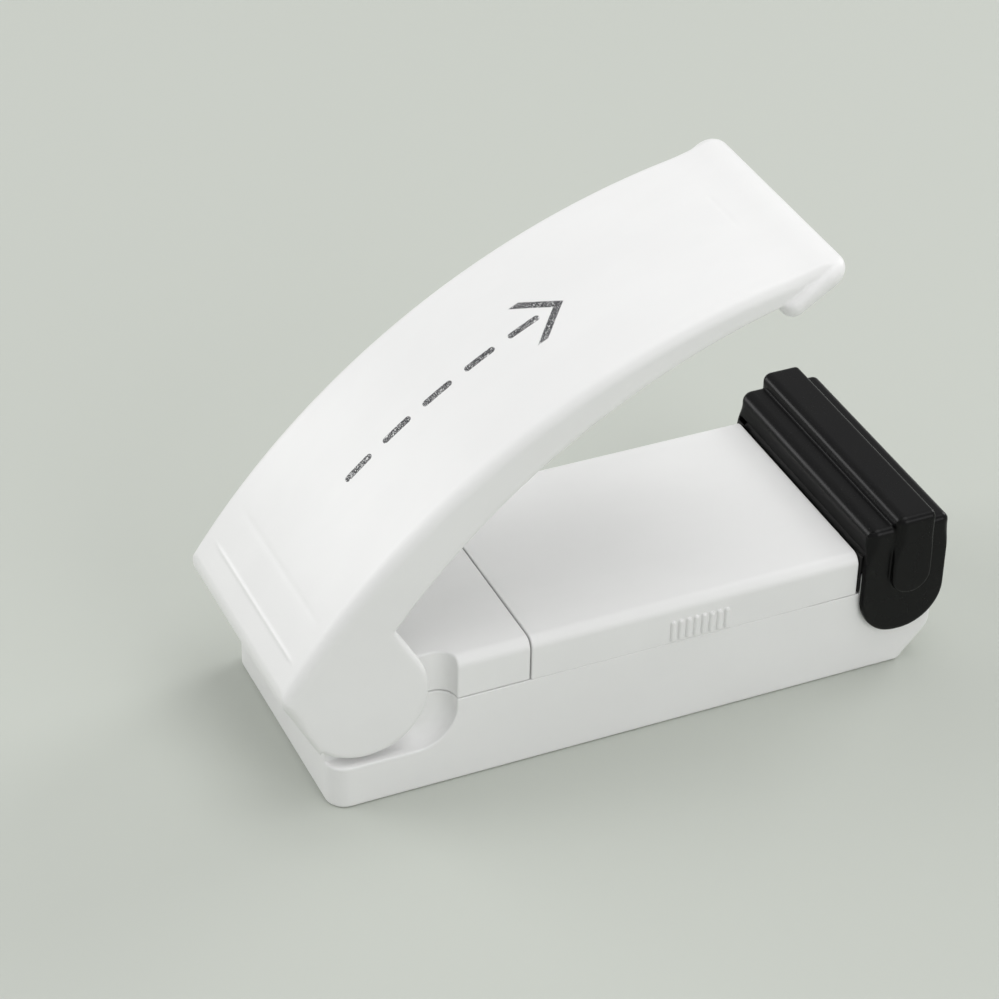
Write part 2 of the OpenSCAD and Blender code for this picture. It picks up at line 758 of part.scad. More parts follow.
module battery_cover() color("whitesmoke") {
    x0 = split_x + split_gap / 2;
    first_rib = split_x + rib_in - (rib_n - 1) / 2 * rib_pitch;
    difference() {
        along(x0, cover_x)
            cover_section(0);
        along(x0 - over, cover_x + over)
            cover_section(wall);
    }
    for (s = [-1, 1])
        for (i = [0 : rib_n - 1])
            translate([first_rib + i * rib_pitch, s * half_w, parting_z + 2 * parting_gap])
                cylinder(r = rib_r, h = rib_h, $fn = rib_fn);
}

module press_lever() color("whitesmoke")
    difference() {
        union() {
            lever_shell();
            lever_ribs();
            jaw_bar();
            inner_arm();
        }
        side_pins(pivot, hinge_d + 2 * run_gap, ear_y - over, ear_y + hinge_in);
        jaw_place()
            pad_pocket();
    }

// Arched top with its side walls and hinge ears, hollow between them
module lever_shell()
    difference() {
        intersection() {
            across(base_w)
                lever_outline();
            arch_turn(arch_start, arch_end - arch_start + arch_angle(2 * ear_r))
                rotate(-90)
                    arched_panel([-lever_half, arch_r - arch_depth], [lever_half, arch_r], lever_edge_r);
        }
        difference() {
            arch_turn(arch_start - arch_angle(over), arch_end - arch_start + arch_angle(3 * ear_r))
                panel([arch_r - arch_depth - over, -ear_y], [arch_r - skin, ear_y]);
            across(base_w)
                lever_tail();
        }
    }

// Stiffening ribs under the lever's top
module lever_ribs()
    for (s = [-1, 1])
        arch_turn(arch_start + arch_angle(stiffener_in), arch_angle(stiffener_l))
            translate([arch_r - skin - stiffener_h, (s * stiffener_gap - stiffener_t) / 2])
                square([stiffener_h + skin / 2, stiffener_t]);

// Turns a section (x outward from the arch's axis, y across) through part of the arch
module arch_turn(start, span)
    translate([arch_c.x, 0, arch_c.y])
        rotate([90, 0, 0])
            rotate(start)
                rotate_extrude(angle = span, $fn = arch_fn)
                    children();

// Side view of the lever with its ears and tail, reaching past the arched top that trims it
module lever_outline() {
    out = unit(tail_low - pivot);
    front = tangent_point(under_a, pivot, ear_r, -1);
    wall_end = arch_c + polar(arch_r - skin, arch_end - arch_angle(skin));
    top_end = arch_c + polar(arch_r - fit, arch_end - arch_angle(fit));
    difference() {
        lever_sector();
        translate(under_c)
            circle(under_r, $fn = arch_fn);
    }
    translate(pivot)
        circle(ear_r);
    translate(tail_c)
        circle(tail_r);
    polygon([tail_c, tail_c + out * tail_r, pivot + out * ear_r, pivot, front, under_a,
             skin_at(under_a.x, 2 * skin), wall_end, top_end, tail_c - [tail_r, 0]]);
}

// Sector of the side view from the middle of the arch, past the tip and up to the end of the top
module lever_sector() {
    first = arch_start - arch_angle(over);
    turn = (arch_end - first) / sector_n;
    polygon([arch_c, for (i = [0 : sector_n]) arch_c + polar(arch_r + 2 * over, first + turn * i)]);
}

// Side view of the rounded tail and of the wall that closes it behind the hinge
module lever_tail() {
    translate(tail_c)
        circle(tail_r + fit);
    capsule(tail_c, tail_c + unit(tail_low - tail_c) * tail_wall_l, skin / 2);
}

// Places children that are drawn on the closed lever onto the lever at rest
module jaw_place()
    translate([pivot.x, 0, pivot.y])
        rotate([0, -open_angle, 0])
            translate([-pivot.x, 0, -pivot.y])
                children();

// Flat jaw bar with round edges, wider than the lever
module jaw_bar() {
    r = jaw_t / 2;
    z = heater_z + r;
    jaw_place()
        intersection() {
            across(2 * jaw_half)
                capsule([jaw_x0 + r, z], [jaw_x1 - r, z], r);
            translate([0, 0, heater_z - over])
                linear_extrude(jaw_t + 2 * over)
                    rounded_panel([jaw_x0, -jaw_half], [jaw_x1, jaw_half], jaw_corner_r);
        }
}

// Pocket for the pressure pad in the underside of the jaw bar
module pad_pocket()
    block([cap_x - pad_w / 2 - fit, -pad_l / 2 - fit, heater_z - over],
          [cap_x + pad_w / 2 + fit, pad_l / 2 + fit, heater_z + pad_t + fit]);

// Curved arm that reaches down into the base, hung from the lever's top by two webs
module inner_arm() {
    web_lap = arm_t / 6;
    web_x0 = pivot.x + arm_web_in;
    across(arm_w)
        translate(pivot)
            intersection() {
                difference() {
                    circle(arm_out);
                    circle(arm_r);
                }
                polygon([[0, 0], polar(arm_far, arm_tip_a), polar(arm_far, (arm_tip_a + arm_top_a) / 2),
                         polar(arm_far, arm_top_a)]);
            }
    both_sides(arm_w / 2 - stiffener_t, arm_w / 2)
        polygon([pivot + polar(arm_r + web_lap, arm_top_a),
                 pivot + polar(arm_out - web_lap, arm_top_a - arm_web_a),
                 skin_at(web_x0 + arm_web_l, skin / 2), skin_at(web_x0, skin / 2)]);
}

module safety_cap() color([0.06, 0.06, 0.07])
    difference() {
        union() {
            cap_shoulders();
            cap_ears();
            cap_band();
        }
        side_pins([cap_x, cap_z], cap_pin_d + 2 * run_gap, cap_ear_y - over, cap_ear_y + cap_pin_in);
    }

// Top of the cap with its rear lip, open at the front so that it can swing clear
module cap_shoulders() {
    lip_up = ceiling_z - cap_z - shoulder_t;
    lip_back = sqrt(lip_r * lip_r - lip_up * lip_up);
    across(2 * cap_out)
        difference() {
            arched_panel([cap_x - cap_half, base_h + lip_gap], [cap_x + cap_half, shoulder_z], cap_edge_r);
            translate([cap_x, cap_z])
                circle(lip_r);
            panel([cap_x - lip_back, 0], [cap_x + cap_half + over, ceiling_z]);
        }
}

// Round-ended plates that hang down at both sides of the head
module cap_ears()
    both_sides(cap_ear_y, cap_out) {
        translate([cap_x, cap_z - ear_drop])
            circle(cap_half);
        arched_panel([cap_x - cap_half, cap_z - ear_drop], [cap_x + cap_half, shoulder_z], cap_edge_r);
    }

// Raised band over the top and down both ears
module cap_band() {
    half = band_l / 2;
    x = cap_x + band_fwd;
    across(2 * band_y)
        arched_panel([x - half, ceiling_z], [x + half, band_z], cap_edge_r);
    both_sides(cap_out - cap_ear_t / 2, band_y) {
        translate([x, cap_z + half])
            circle(half);
        panel([x - half, cap_z + half], [x + half, shoulder_z]);
    }
}

module hinge_pin() color("silver")
    cross_pin(pivot, hinge_d, 2 * (ear_y + hinge_in - side_gap));

module return_spring() color("silver")
    translate([spring_at.x, spring_at.y, spring_seat_h + spring_wire_r])
        wound_wire(coil(spring_r, spring_r, spring_h, spring_n), spring_wire_r);

module pressure_pad() color("gainsboro")
    jaw_place()
        block([cap_x - pad_w / 2, -pad_l / 2, heater_z], [cap_x + pad_w / 2, pad_l / 2, heater_z + pad_t]);

module cap_pins() color("silver")
    side_pins([cap_x, cap_z], cap_pin_d, inner_half, cap_pin_end);

module head_block() color([0.16, 0.16, 0.17])
    difference() {
        union() {
            head_dome();
            head_bosses();
            head_cheeks();
        }
        block([cap_x - bar_w / 2 - fit, -bar_half - fit, bar_z - bar_h - fit],
              [cap_x + bar_w / 2 + fit, bar_half + fit, heater_z + over]);
        for (s = [-1, 1])
            translate([cap_x, s * post_y, 0])
                cylinder(d = post_d + 2 * fit, h = heater_z + over);
        at_front_screws()
            cylinder(d = screw_d + 2 * fit, h = front_screw_tip + fit);
    }

// Hollow dome of the head block
module head_dome()
    difference() {
        across(base_w - 2 * side_gap)
            intersection() {
                translate([cap_x, cap_z])
                    circle(dome_r);
                panel([web_x, seat_z + fit], [front_x - side_gap, heater_z]);
            }
        across(2 * inner_half)
            intersection() {
                translate([cap_x, cap_z])
                    circle(dome_r - dome_t);
                panel([web_x + web_t, 0], [front_x - wall, heater_z]);
            }
    }

// Bosses that hang from the dome onto those of the lower shell
module head_bosses()
    intersection() {
        at_front_screws()
            translate([0, 0, front_boss_top + fit])
                cylinder(d = boss_d, h = base_h - front_boss_top);
        across(base_w)
            translate([cap_x, cap_z])
                circle(dome_r - dome_t / 2);
    }

// Cheeks at both sides that close the gap in front of the battery cover's end
module head_cheeks()
    both_sides(inner_half + side_gap, half_w - 2 * side_gap) {
        panel([cover_x + side_gap, parting_z + 2 * side_gap], [web_x - fit, seat_z + dome_t]);
        panel([cover_x + side_gap, seat_z + side_gap], [web_x + side_gap, seat_z + dome_t / 2]);
    }

module heater_bar() color("antiquewhite")
    block([cap_x - bar_w / 2, -bar_half, bar_z - bar_h], [cap_x + bar_w / 2, bar_half, bar_z]);

module heater_ribbon() color("dimgray")
    difference() {
        union() {
            block([cap_x - ribbon_w / 2, -post_y, bar_z + lay_gap], [cap_x + ribbon_w / 2, post_y, ribbon_z]);
            for (s = [-1, 1])
                translate([cap_x, s * post_y, bar_z + lay_gap])
                    cylinder(d = post_d + 2 * eye_w, h = ribbon_t - lay_gap);
        }
        for (s = [-1, 1])
            translate([cap_x, s * post_y, 0])
                cylinder(d = post_d + 2 * fit, h = heater_z);
    }

module release_tape() color("tan")
    block([cap_x - bar_w / 2, -bar_half, ribbon_z + lay_gap], [cap_x + bar_w / 2, bar_half, heater_z]);

module heater_posts() color("goldenrod")
    for (s = [-1, 1])
        translate([cap_x, s * post_y, post_low])
            cylinder(d = post_d, h = ribbon_z - post_low);

module post_nuts() color("silver")
    for (s = [-1, 1])
        translate([cap_x, s * post_y, nut_z])
            difference() {
                cylinder(r = nut_r, h = nut_t, $fn = 6);
                translate([0, 0, -over])
                    cylinder(d = post_d + 2 * fit, h = nut_t + 2 * over);
            }

// One cell along x, from its flat end to its terminal
module cell()
    rotate([0, 90, 0]) {
        cylinder(d = cell_d, h = cell_l - cell_nub_h - fit);
        cylinder(d = cell_nub_d, h = cell_l - fit);
    }

module cell_left() color("seagreen")
    translate([cells_x + fit + plate_t + contact_h, cell_y, cell_z])
        cell();

module cell_right() color("seagreen")
    translate([plate_x - contact_h, -cell_y, cell_z])
        rotate(180)
            cell();

module bridge_plate() color("silver")
    block([cells_x + fit, -plate_half, plate_z0], [cells_x + fit + plate_t, plate_half, plate_z1]);

// A cone-shaped contact spring along x, from its plate to a cell
module contact_spring() {
    climb = contact_h - 2 * contact_wire_r - 2 * fit;
    rotate([0, 90, 0])
        translate([0, 0, contact_wire_r + fit])
            wound_wire(coil(contact_wide_r, contact_tip_r, climb, contact_n), contact_wire_r);
}

module bridge_spring() color("silver")
    translate([cells_x + fit + plate_t, cell_y, cell_z])
        contact_spring();

module positive_plate() color("silver")
    block([plate_x, min(plate_in, jumper_y - lead_r), plate_z0], [plate_x + plate_t, plate_half, plate_z1]);

module negative_plate() color("silver") {
    block([plate_x, -plate_half, plate_z0], [plate_x + plate_t, -plate_in, plate_z1]);
    block([plate_x, -lead_y - lead_r, wall + fit],
          [plate_x + plate_t, tab_lap - plate_half, plate_z0 + tab_lap]);
}

module negative_spring() color("silver")
    translate([plate_x, -cell_y, cell_z])
        rotate(180)
            contact_spring();

// Springy leaf that the arm's tip presses onto the fixed contact
module switch_leaf() color("gold") {
    bend = [pivot.x + leaf_bend_l, leaf_z];
    across(leaf_w, leaf_y) {
        capsule([rear_x + wall + 2 * side_gap, leaf_z], bend, leaf_t / 2);
        capsule(bend, [arm_mid_x, arm_tip_z - leaf_drop], leaf_t / 2);
    }
}

module switch_contact() color("gold") {
    y1 = leaf_y + leaf_w / 2 + leaf_t;
    x0 = arm_mid_x - contact_l / 2;
    x1 = arm_mid_x + contact_l / 2;
    block([x0, leaf_y - leaf_w / 2, contact_top - leaf_t + fit], [x1, y1, contact_top]);
    block([x0, y1 - leaf_t, wall + fit], [x1, y1, contact_top]);
    block([x0, y1 - leaf_t, wall + fit], [x1, lead_y - lead_r - fit, wall + fit + leaf_t]);
}

module lead_black() color([0.1, 0.1, 0.1])
    tube(black_route, lead_r, lead_ref, lead_sides);

module lead_red() color("firebrick")
    tube(red_route, lead_r, lead_ref, lead_sides);

module lead_jumper() color("firebrick")
    tube(jumper_route, lead_r, lead_ref, lead_sides);

module case_screws() color("silver") {
    at_rear_screws()
        case_screw(rear_screw_tip);
    at_front_screws()
        case_screw(front_screw_tip);
}

// One pan-head screw whose tip ends at height tip_z
module case_screw(tip_z)
    difference() {
        union() {
            translate([0, 0, bore_depth - screw_head_h - fit])
                cylinder(d = screw_head_d, h = screw_head_h);
            translate([0, 0, bore_depth - screw_head_h])
                cylinder(d = screw_d, h = tip_z - bore_depth + screw_head_h);
        }
        for (a = [0, 90])
            rotate(a)
                translate([-drive_l / 2, -drive_w / 2, 0])
                    cube([drive_l, drive_w, bore_depth - screw_head_h / 2]);
    }

lower_shell();
rear_cover();
battery_cover();
press_lever();
safety_cap();
hinge_pin();
return_spring();
pressure_pad();
cap_pins();
head_block();
heater_bar();
heater_ribbon();
release_tape();
heater_posts();
post_nuts();
cell_left();
cell_right();
bridge_plate();
bridge_spring();
positive_plate();
negative_plate();
negative_spring();
switch_leaf();
switch_contact();
lead_black();
lead_red();
lead_jumper();
case_screws();
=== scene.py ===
"""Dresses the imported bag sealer: a white two-cell base, an arched press lever and a black flip-off cap.

The moulded pieces are described as solids by their distance fields, in millimetres, and wrapped in a skin of
quads. Coils, leads, grip ribs and screws come from Geometry Nodes. Every finish is a node material.
"""

import logging
import math
from dataclasses import dataclass
from enum import Enum
from typing import Any, Callable, Sequence

import bmesh
import bpy
import numpy as np
from mathutils import Matrix, Vector


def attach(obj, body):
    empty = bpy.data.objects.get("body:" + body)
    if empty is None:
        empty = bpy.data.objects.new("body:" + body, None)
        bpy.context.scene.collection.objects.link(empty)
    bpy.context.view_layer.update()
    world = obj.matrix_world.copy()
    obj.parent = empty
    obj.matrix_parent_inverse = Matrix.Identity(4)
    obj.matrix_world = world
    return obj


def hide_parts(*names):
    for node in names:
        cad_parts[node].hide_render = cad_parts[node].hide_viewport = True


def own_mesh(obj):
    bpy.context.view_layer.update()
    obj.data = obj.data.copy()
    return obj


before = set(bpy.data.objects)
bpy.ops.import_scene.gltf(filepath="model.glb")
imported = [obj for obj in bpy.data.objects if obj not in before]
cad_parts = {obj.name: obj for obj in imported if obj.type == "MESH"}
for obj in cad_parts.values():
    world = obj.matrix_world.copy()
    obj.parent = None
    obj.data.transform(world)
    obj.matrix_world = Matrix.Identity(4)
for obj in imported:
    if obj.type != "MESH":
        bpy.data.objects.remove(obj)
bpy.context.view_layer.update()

log = logging.getLogger("bag_sealer")

MM = 0.001
WELD = 1e-7
GRID_SAMPLES = 6001
GRID_FADE = 0.6
Array = np.ndarray
Point = tuple[float, float]
Solid = Callable[[Array, Array, Array], Array]
Bend = Callable[[Array, Array, Array], tuple[Array, Array, Array]]


def meet(a: Array, b: Array, r: Any = 0.0) -> Array:
    """Keeps what two solids share.

    Args:
        a: Distances to the first solid, negative inside.
        b: Distances to the second solid.
        r: Radius of the edge where they meet.

    Returns:
        Distances to the common part.
    """
    return np.minimum(np.maximum(a, b), -r) + np.hypot(np.maximum(a + r, 0.0), np.maximum(b + r, 0.0))


def join(a: Array, b: Array, r: Any = 0.0) -> Array:
    """Joins two solids, with a hollow fillet of radius r where they meet."""
    return -meet(-a, -b, r)


def melt(a: Array, b: Array, k: Any) -> Array:
    """Joins two solids that meet at a flat angle, with their surfaces blended over a depth of k."""
    near = np.maximum(k - np.abs(a - b), 0.0) / k
    return np.minimum(a, b) - near * near * k / 4


def carve(a: Array, b: Array, r: Any = 0.0) -> Array:
    """Takes solid b out of solid a, with the rim rounded to r."""
    return meet(a, -b, r)


def slab(v: Array, low: float, high: float) -> Array:
    """Gives the distance to the layer between two values of v."""
    return np.maximum(low - v, v - high)


def disc(u: Array, v: Array, centre: Point, r: float) -> Array:
    """Gives the distance to a disc in the plane of two coordinates."""
    return np.hypot(u - centre[0], v - centre[1]) - r


def bar(x: Array, z: Array, a: Point, b: Point, r: float) -> Array:
    """Gives the distance to a round-ended bar of the side view.

    Args:
        x: Forward coordinates.
        z: Heights.
        a: First end.
        b: Second end.
        r: Half thickness.

    Returns:
        Distances, negative inside.
    """
    dx, dz = b[0] - a[0], b[1] - a[1]
    t = np.clip(((x - a[0]) * dx + (z - a[1]) * dz) / (dx * dx + dz * dz), 0.0, 1.0)
    return np.hypot(x - a[0] - t * dx, z - a[1] - t * dz) - r


def polygon(x: Array, z: Array, points: Sequence[Point]) -> Array:
    """Gives the distance to a polygon of the side view.

    Args:
        x: Forward coordinates.
        z: Heights.
        points: Corners in order.

    Returns:
        Distances, negative inside.
    """
    least = np.full(np.shape(x), np.inf)
    inside = np.zeros(np.shape(x), dtype=bool)
    for a, b in zip(points, [*points[1:], points[0]]):
        least = np.minimum(least, bar(x, z, a, b, 0.0))
        crosses = (a[1] > z) != (b[1] > z)
        rise = b[1] - a[1] if b[1] != a[1] else 1.0
        inside ^= crosses & (x < (b[0] - a[0]) * (z - a[1]) / rise + a[0])
    return np.where(inside, -least, least)


def block(x: Array, y: Array, z: Array, low: Sequence[float], high: Sequence[float], r: float = 0.0) -> Array:
    """Gives the distance to a box with its edges rounded to r."""
    return meet(meet(slab(x, low[0], high[0]), slab(y, low[1], high[1]), r), slab(z, low[2], high[2]), r)


def smooth(v: Array, low: float, high: float) -> Array:
    """Rises softly from 0 at low to 1 at high."""
    t = np.clip((v - low) / (high - low), 0.0, 1.0)
    return t * t * (3.0 - 2.0 * t)


def graded(low: float, high: float, coarse: float, spots: Sequence[tuple[float, float, float]] = ()) -> Array:
    """Lays grid lines that crowd together at given places.

    Args:
        low: First line.
        high: Last line.
        coarse: Spacing away from the places.
        spots: Middle, half width and spacing of each place.

    Returns:
        The lines in rising order.
    """
    t = np.linspace(low, high, GRID_SAMPLES)
    density = np.full_like(t, 1.0 / coarse)
    for middle, half, fine in spots:
        near = np.clip(((1.0 + GRID_FADE) * half - np.abs(t - middle)) / (GRID_FADE * half), 0.0, 1.0)
        density = np.maximum(density, near / fine + (1.0 - near) / coarse)
    total = np.concatenate([[0.0], np.cumsum((density[1:] + density[:-1]) / 2 * np.diff(t))])
    return np.interp(np.linspace(0.0, total[-1], math.ceil(total[-1]) + 1), total, t)


def both(spots: Sequence[tuple[float, float, float]]) -> list[tuple[float, float, float]]:
    """Repeats the crowded places of a symmetric axis on its other half."""
    return [*spots, *[(-middle, half, fine) for middle, half, fine in spots]]


def straight(a: Array, b: Array, c: Array) -> tuple[Array, Array, Array]:
    """Leaves the grid as it is."""
    return a, b, c


class Skin:
    """A closed quad skin round a solid."""

    CORNERS = np.array([(i, j, k) for i in (0, 1) for j in (0, 1) for k in (0, 1)])
    EDGES = [(a, b) for a in range(8) for b in range(a + 1, 8) if bin(a ^ b).count("1") == 1]
    RING = ((-1, -1), (0, -1), (0, 0), (-1, 0))
    PULLS = 4
    PULL_STEP = 0.004
    LEAST_SLOPE = 0.3
    LONGEST_PULL = 0.25

    def __init__(self, solid: Solid, lines: Sequence[Array], bend: Bend = straight) -> None:
        """Wraps the solid.

        Args:
            solid: Distance field in millimetres.
            lines: Grid lines along the three axes of the grid.
            bend: Turns grid coordinates into x, y and z.
        """
        self.solid = solid
        dist = solid(*bend(*np.meshgrid(*lines, indexing="ij")))
        inside = dist < 0.0
        cells, index = self._cells(inside)
        spots = self._middles(dist, cells, lines)
        self.points = self._pulled(np.stack(bend(*spots.T), axis=1))
        self.quads = self._quads(inside, index)
        if self.quads.min() < 0:
            raise ValueError("the surface leaves the grid")
        if self._volume() < 0.0:
            self.quads = self.quads[:, ::-1]

    def _cells(self, inside: Array) -> tuple[Array, Array]:
        """Finds the grid cells that the surface passes through, and numbers them.

        Args:
            inside: Which grid points are inside the solid.

        Returns:
            The cells, and the number of each cell or -1.
        """
        size = np.array(inside.shape) - 1
        count = np.zeros(size, dtype=np.int8)
        for i, j, k in self.CORNERS:
            count += inside[i:i + size[0], j:j + size[1], k:k + size[2]]
        cells = np.argwhere((count > 0) & (count < 8))
        index = np.full(size, -1, dtype=np.int64)
        index[tuple(cells.T)] = np.arange(len(cells))
        return cells, index

    def _middles(self, dist: Array, cells: Array, lines: Sequence[Array]) -> Array:
        """Puts one point in each cell, at the mean of the crossings on its edges.

        Args:
            dist: Distances at the grid points.
            cells: Cells that the surface passes through.
            lines: Grid lines along the three axes.

        Returns:
            One place on the grid for each cell.
        """
        corners = cells[:, None, :] + self.CORNERS[None]
        value = dist[corners[..., 0], corners[..., 1], corners[..., 2]]
        place = np.stack([lines[a][corners[..., a]] for a in range(3)], axis=2)
        total = np.zeros((len(cells), 3))
        hits = np.zeros(len(cells))
        for a, b in self.EDGES:
            cut = (value[:, a] < 0.0) != (value[:, b] < 0.0)
            t = value[cut, a] / (value[cut, a] - value[cut, b])
            total[cut] += place[cut, a] + t[:, None] * (place[cut, b] - place[cut, a])
            hits[cut] += 1
        return total / hits[:, None]

    def _pulled(self, points: Array) -> Array:
        """Pulls the points onto the true surface along its slope.

        Args:
            points: Points near the surface.

        Returns:
            Points on the surface.
        """
        shifts = np.eye(3) * self.PULL_STEP
        for _ in range(self.PULLS):
            slope = np.stack([self.solid(*(points + s).T) - self.solid(*(points - s).T) for s in shifts],
                             axis=1) / (2 * self.PULL_STEP)
            steep = np.maximum((slope * slope).sum(axis=1), self.LEAST_SLOPE)
            move = slope * (self.solid(*points.T) / steep)[:, None]
            length = np.linalg.norm(move, axis=1, keepdims=True)
            points = points - move * np.minimum(1.0, self.LONGEST_PULL / np.maximum(length, 1e-9))
        return points

    def _quads(self, inside: Array, index: Array) -> Array:
        """Spans a quad round every grid edge that the surface cuts.

        Args:
            inside: Which grid points are inside the solid.
            index: Number of each cell.

        Returns:
            Four cell numbers for each quad.
        """
        found = []
        for axis in range(3):
            b, c = (axis + 1) % 3, (axis + 2) % 3
            low = np.take(inside, range(inside.shape[axis] - 1), axis=axis)
            high = np.take(inside, range(1, inside.shape[axis]), axis=axis)
            cuts = np.argwhere(low != high)
            ring = []
            for db, dc in self.RING:
                cell = cuts.copy()
                cell[:, b] += db
                cell[:, c] += dc
                ring.append(index[tuple(cell.T)])
            quad = np.stack(ring, axis=1)
            outward = low[tuple(cuts.T)]
            found.append(np.where(outward[:, None], quad, quad[:, ::-1]))
        return np.concatenate(found)

    def _volume(self) -> float:
        """Adds up the volume inside the quads.

        Returns:
            The volume times six, negative where the quads face inwards.
        """
        p = [self.points[self.quads[:, k]] for k in range(4)]
        halves = ((p[0], p[1], p[2]), (p[0], p[2], p[3]))
        return sum(float((a * np.cross(b, c)).sum()) for a, b, c in halves)

    def piece(self, name: str) -> bpy.types.Object:
        """Makes the skin an object, in metres."""
        return mesh_piece(name, self.points * MM, self.quads.tolist())


def mesh_piece(name: str, points: Any, faces: Sequence[Sequence[int]],
               weld: float = WELD) -> bpy.types.Object:
    """Makes a smooth-shaded mesh object at the origin.

    Args:
        name: Name of the piece.
        points: Points in metres.
        faces: Corner numbers of each face.
        weld: Distance in metres below which points become one.

    Returns:
        The linked object.
    """
    mesh = bpy.data.meshes.new(name)
    mesh.from_pydata([tuple(p) for p in points], [], faces)
    work = bmesh.new()
    work.from_mesh(mesh)
    bmesh.ops.remove_doubles(work, verts=work.verts, dist=weld)
    work.to_mesh(mesh)
    work.free()
    mesh.shade_smooth()
    obj = bpy.data.objects.new(name, mesh)
    bpy.context.scene.collection.objects.link(obj)
    return obj


class Graph:
    """A node tree with one way to add a node."""

    def __init__(self, tree: bpy.types.NodeTree) -> None:
        """Takes over an empty tree."""
        self.tree = tree

    def node(self, kind: str, settings: dict[str, Any] | None = None,
             sockets: dict[Any, Any] | None = None) -> bpy.types.Node:
        """Adds a node.

        Args:
            kind: Node type.
            settings: Properties, set first.
            sockets: Values or links by the input's name or number.

        Returns:
            The node.
        """
        made = self.tree.nodes.new(kind)
        for key, value in (settings or {}).items():
            setattr(made, key, value)
        for key, value in (sockets or {}).items():
            self.plug(made.inputs[key], value)
        return made

    def plug(self, socket: bpy.types.NodeSocket, value: Any) -> None:
        """Links or sets an input.

        Args:
            socket: The input.
            value: A value or socket to link, or a constant to set.
        """
        if isinstance(value, Value):
            value = value.socket
        if isinstance(value, bpy.types.NodeSocket):
            self.tree.links.new(value, socket)
        else:
            socket.default_value = value


class Value:
    """A socket that carries a number, with arithmetic that adds Math nodes."""

    def __init__(self, graph: Graph, socket: bpy.types.NodeSocket) -> None:
        """Wraps a socket of a graph."""
        self.graph = graph
        self.socket = socket

    def worked(self, operation: str, *terms: Any) -> "Value":
        """Adds a Math node over some terms in order."""
        made = self.graph.node("ShaderNodeMath", {"operation": operation}, dict(enumerate(terms)))
        return Value(self.graph, made.outputs[0])

    def math(self, operation: str, *others: Any) -> "Value":
        """Adds a Math node with this value first."""
        return self.worked(operation, self, *others)

    def __add__(self, other: Any) -> "Value":
        """Adds."""
        return self.math("ADD", other)

    __radd__ = __add__

    def __sub__(self, other: Any) -> "Value":
        """Subtracts."""
        return self.math("SUBTRACT", other)

    def __rsub__(self, other: float) -> "Value":
        """Subtracts this from a number."""
        return self.worked("SUBTRACT", other, self)

    def __mul__(self, other: Any) -> "Value":
        """Multiplies."""
        return self.math("MULTIPLY", other)

    __rmul__ = __mul__

    def __truediv__(self, other: Any) -> "Value":
        """Divides."""
        return self.math("DIVIDE", other)

    def __abs__(self) -> "Value":
        """Drops the sign."""
        return self.math("ABSOLUTE")

    def step(self, low: float, high: float) -> "Value":
        """Rises softly from 0 at low to 1 at high, or falls where high is the smaller."""
        ramp = self.graph.node("ShaderNodeMapRange", {"interpolation_type": "SMOOTHSTEP"},
                               {"Value": self, "From Min": min(low, high), "From Max": max(low, high),
                                "To Min": float(low > high), "To Max": float(low < high)})
        return Value(self.graph, ramp.outputs["Result"])


class Shader(Graph):
    """A material's graph, ending in one Principled shader."""

    def __init__(self, name: str) -> None:
        """Makes the material.

        Args:
            name: Name of the material.
        """
        self.material = bpy.data.materials.new(name)
        self.material.use_nodes = True
        super().__init__(self.material.node_tree)
        self.tree.nodes.clear()
        self.surface = self.node("ShaderNodeBsdfPrincipled")
        self.node("ShaderNodeOutputMaterial", {}, {"Surface": self.surface.outputs["BSDF"]})
        self.place = self.node("ShaderNodeTexCoord").outputs["Object"]

    def axes(self) -> tuple[Value, Value, Value]:
        """Gives x, y and z of the surface, in metres."""
        parts = self.node("ShaderNodeSeparateXYZ", {}, {0: self.place})
        return tuple(Value(self, socket) for socket in parts.outputs)

    def noise(self, scale: float, detail: float = 2.0, stretch: Sequence[float] = (1, 1, 1)) -> Value:
        """Adds noise, stretched along the axes.

        Args:
            scale: Spots per metre.
            detail: Number of finer layers.
            stretch: Factor on each axis.

        Returns:
            The noise, from 0 to 1.
        """
        place = self.node("ShaderNodeMapping", {}, {"Vector": self.place, "Scale": tuple(stretch)}).outputs[0]
        made = self.node("ShaderNodeTexNoise", {}, {"Vector": place, "Scale": scale, "Detail": detail})
        return Value(self, made.outputs[0])

    def blend(self, amount: Value, a: Any, b: Any) -> bpy.types.NodeSocket:
        """Mixes two colours."""
        made = self.node("ShaderNodeMix", {"data_type": "RGBA"}, {0: amount, 6: a, 7: b})
        return made.outputs[2]

    def feed(self, **inputs: Any) -> None:
        """Sets or links inputs of the Principled shader, by name with underscores for spaces."""
        for key, value in inputs.items():
            self.plug(self.surface.inputs[key.replace("_", " ")], value)

    def bump(self, height: Value, depth: float) -> None:
        """Roughens the surface by a height from 0 to 1, over a depth in metres."""
        made = self.node("ShaderNodeBump", {}, {"Height": height, "Distance": depth, "Strength": 1.0})
        self.feed(Normal=made.outputs[0])


def shade(colour: Sequence[float], share: float) -> tuple[float, float, float, float]:
    """Gives a colour times a share, with full alpha."""
    return tuple(c * share for c in colour[:3]) + (1.0,)


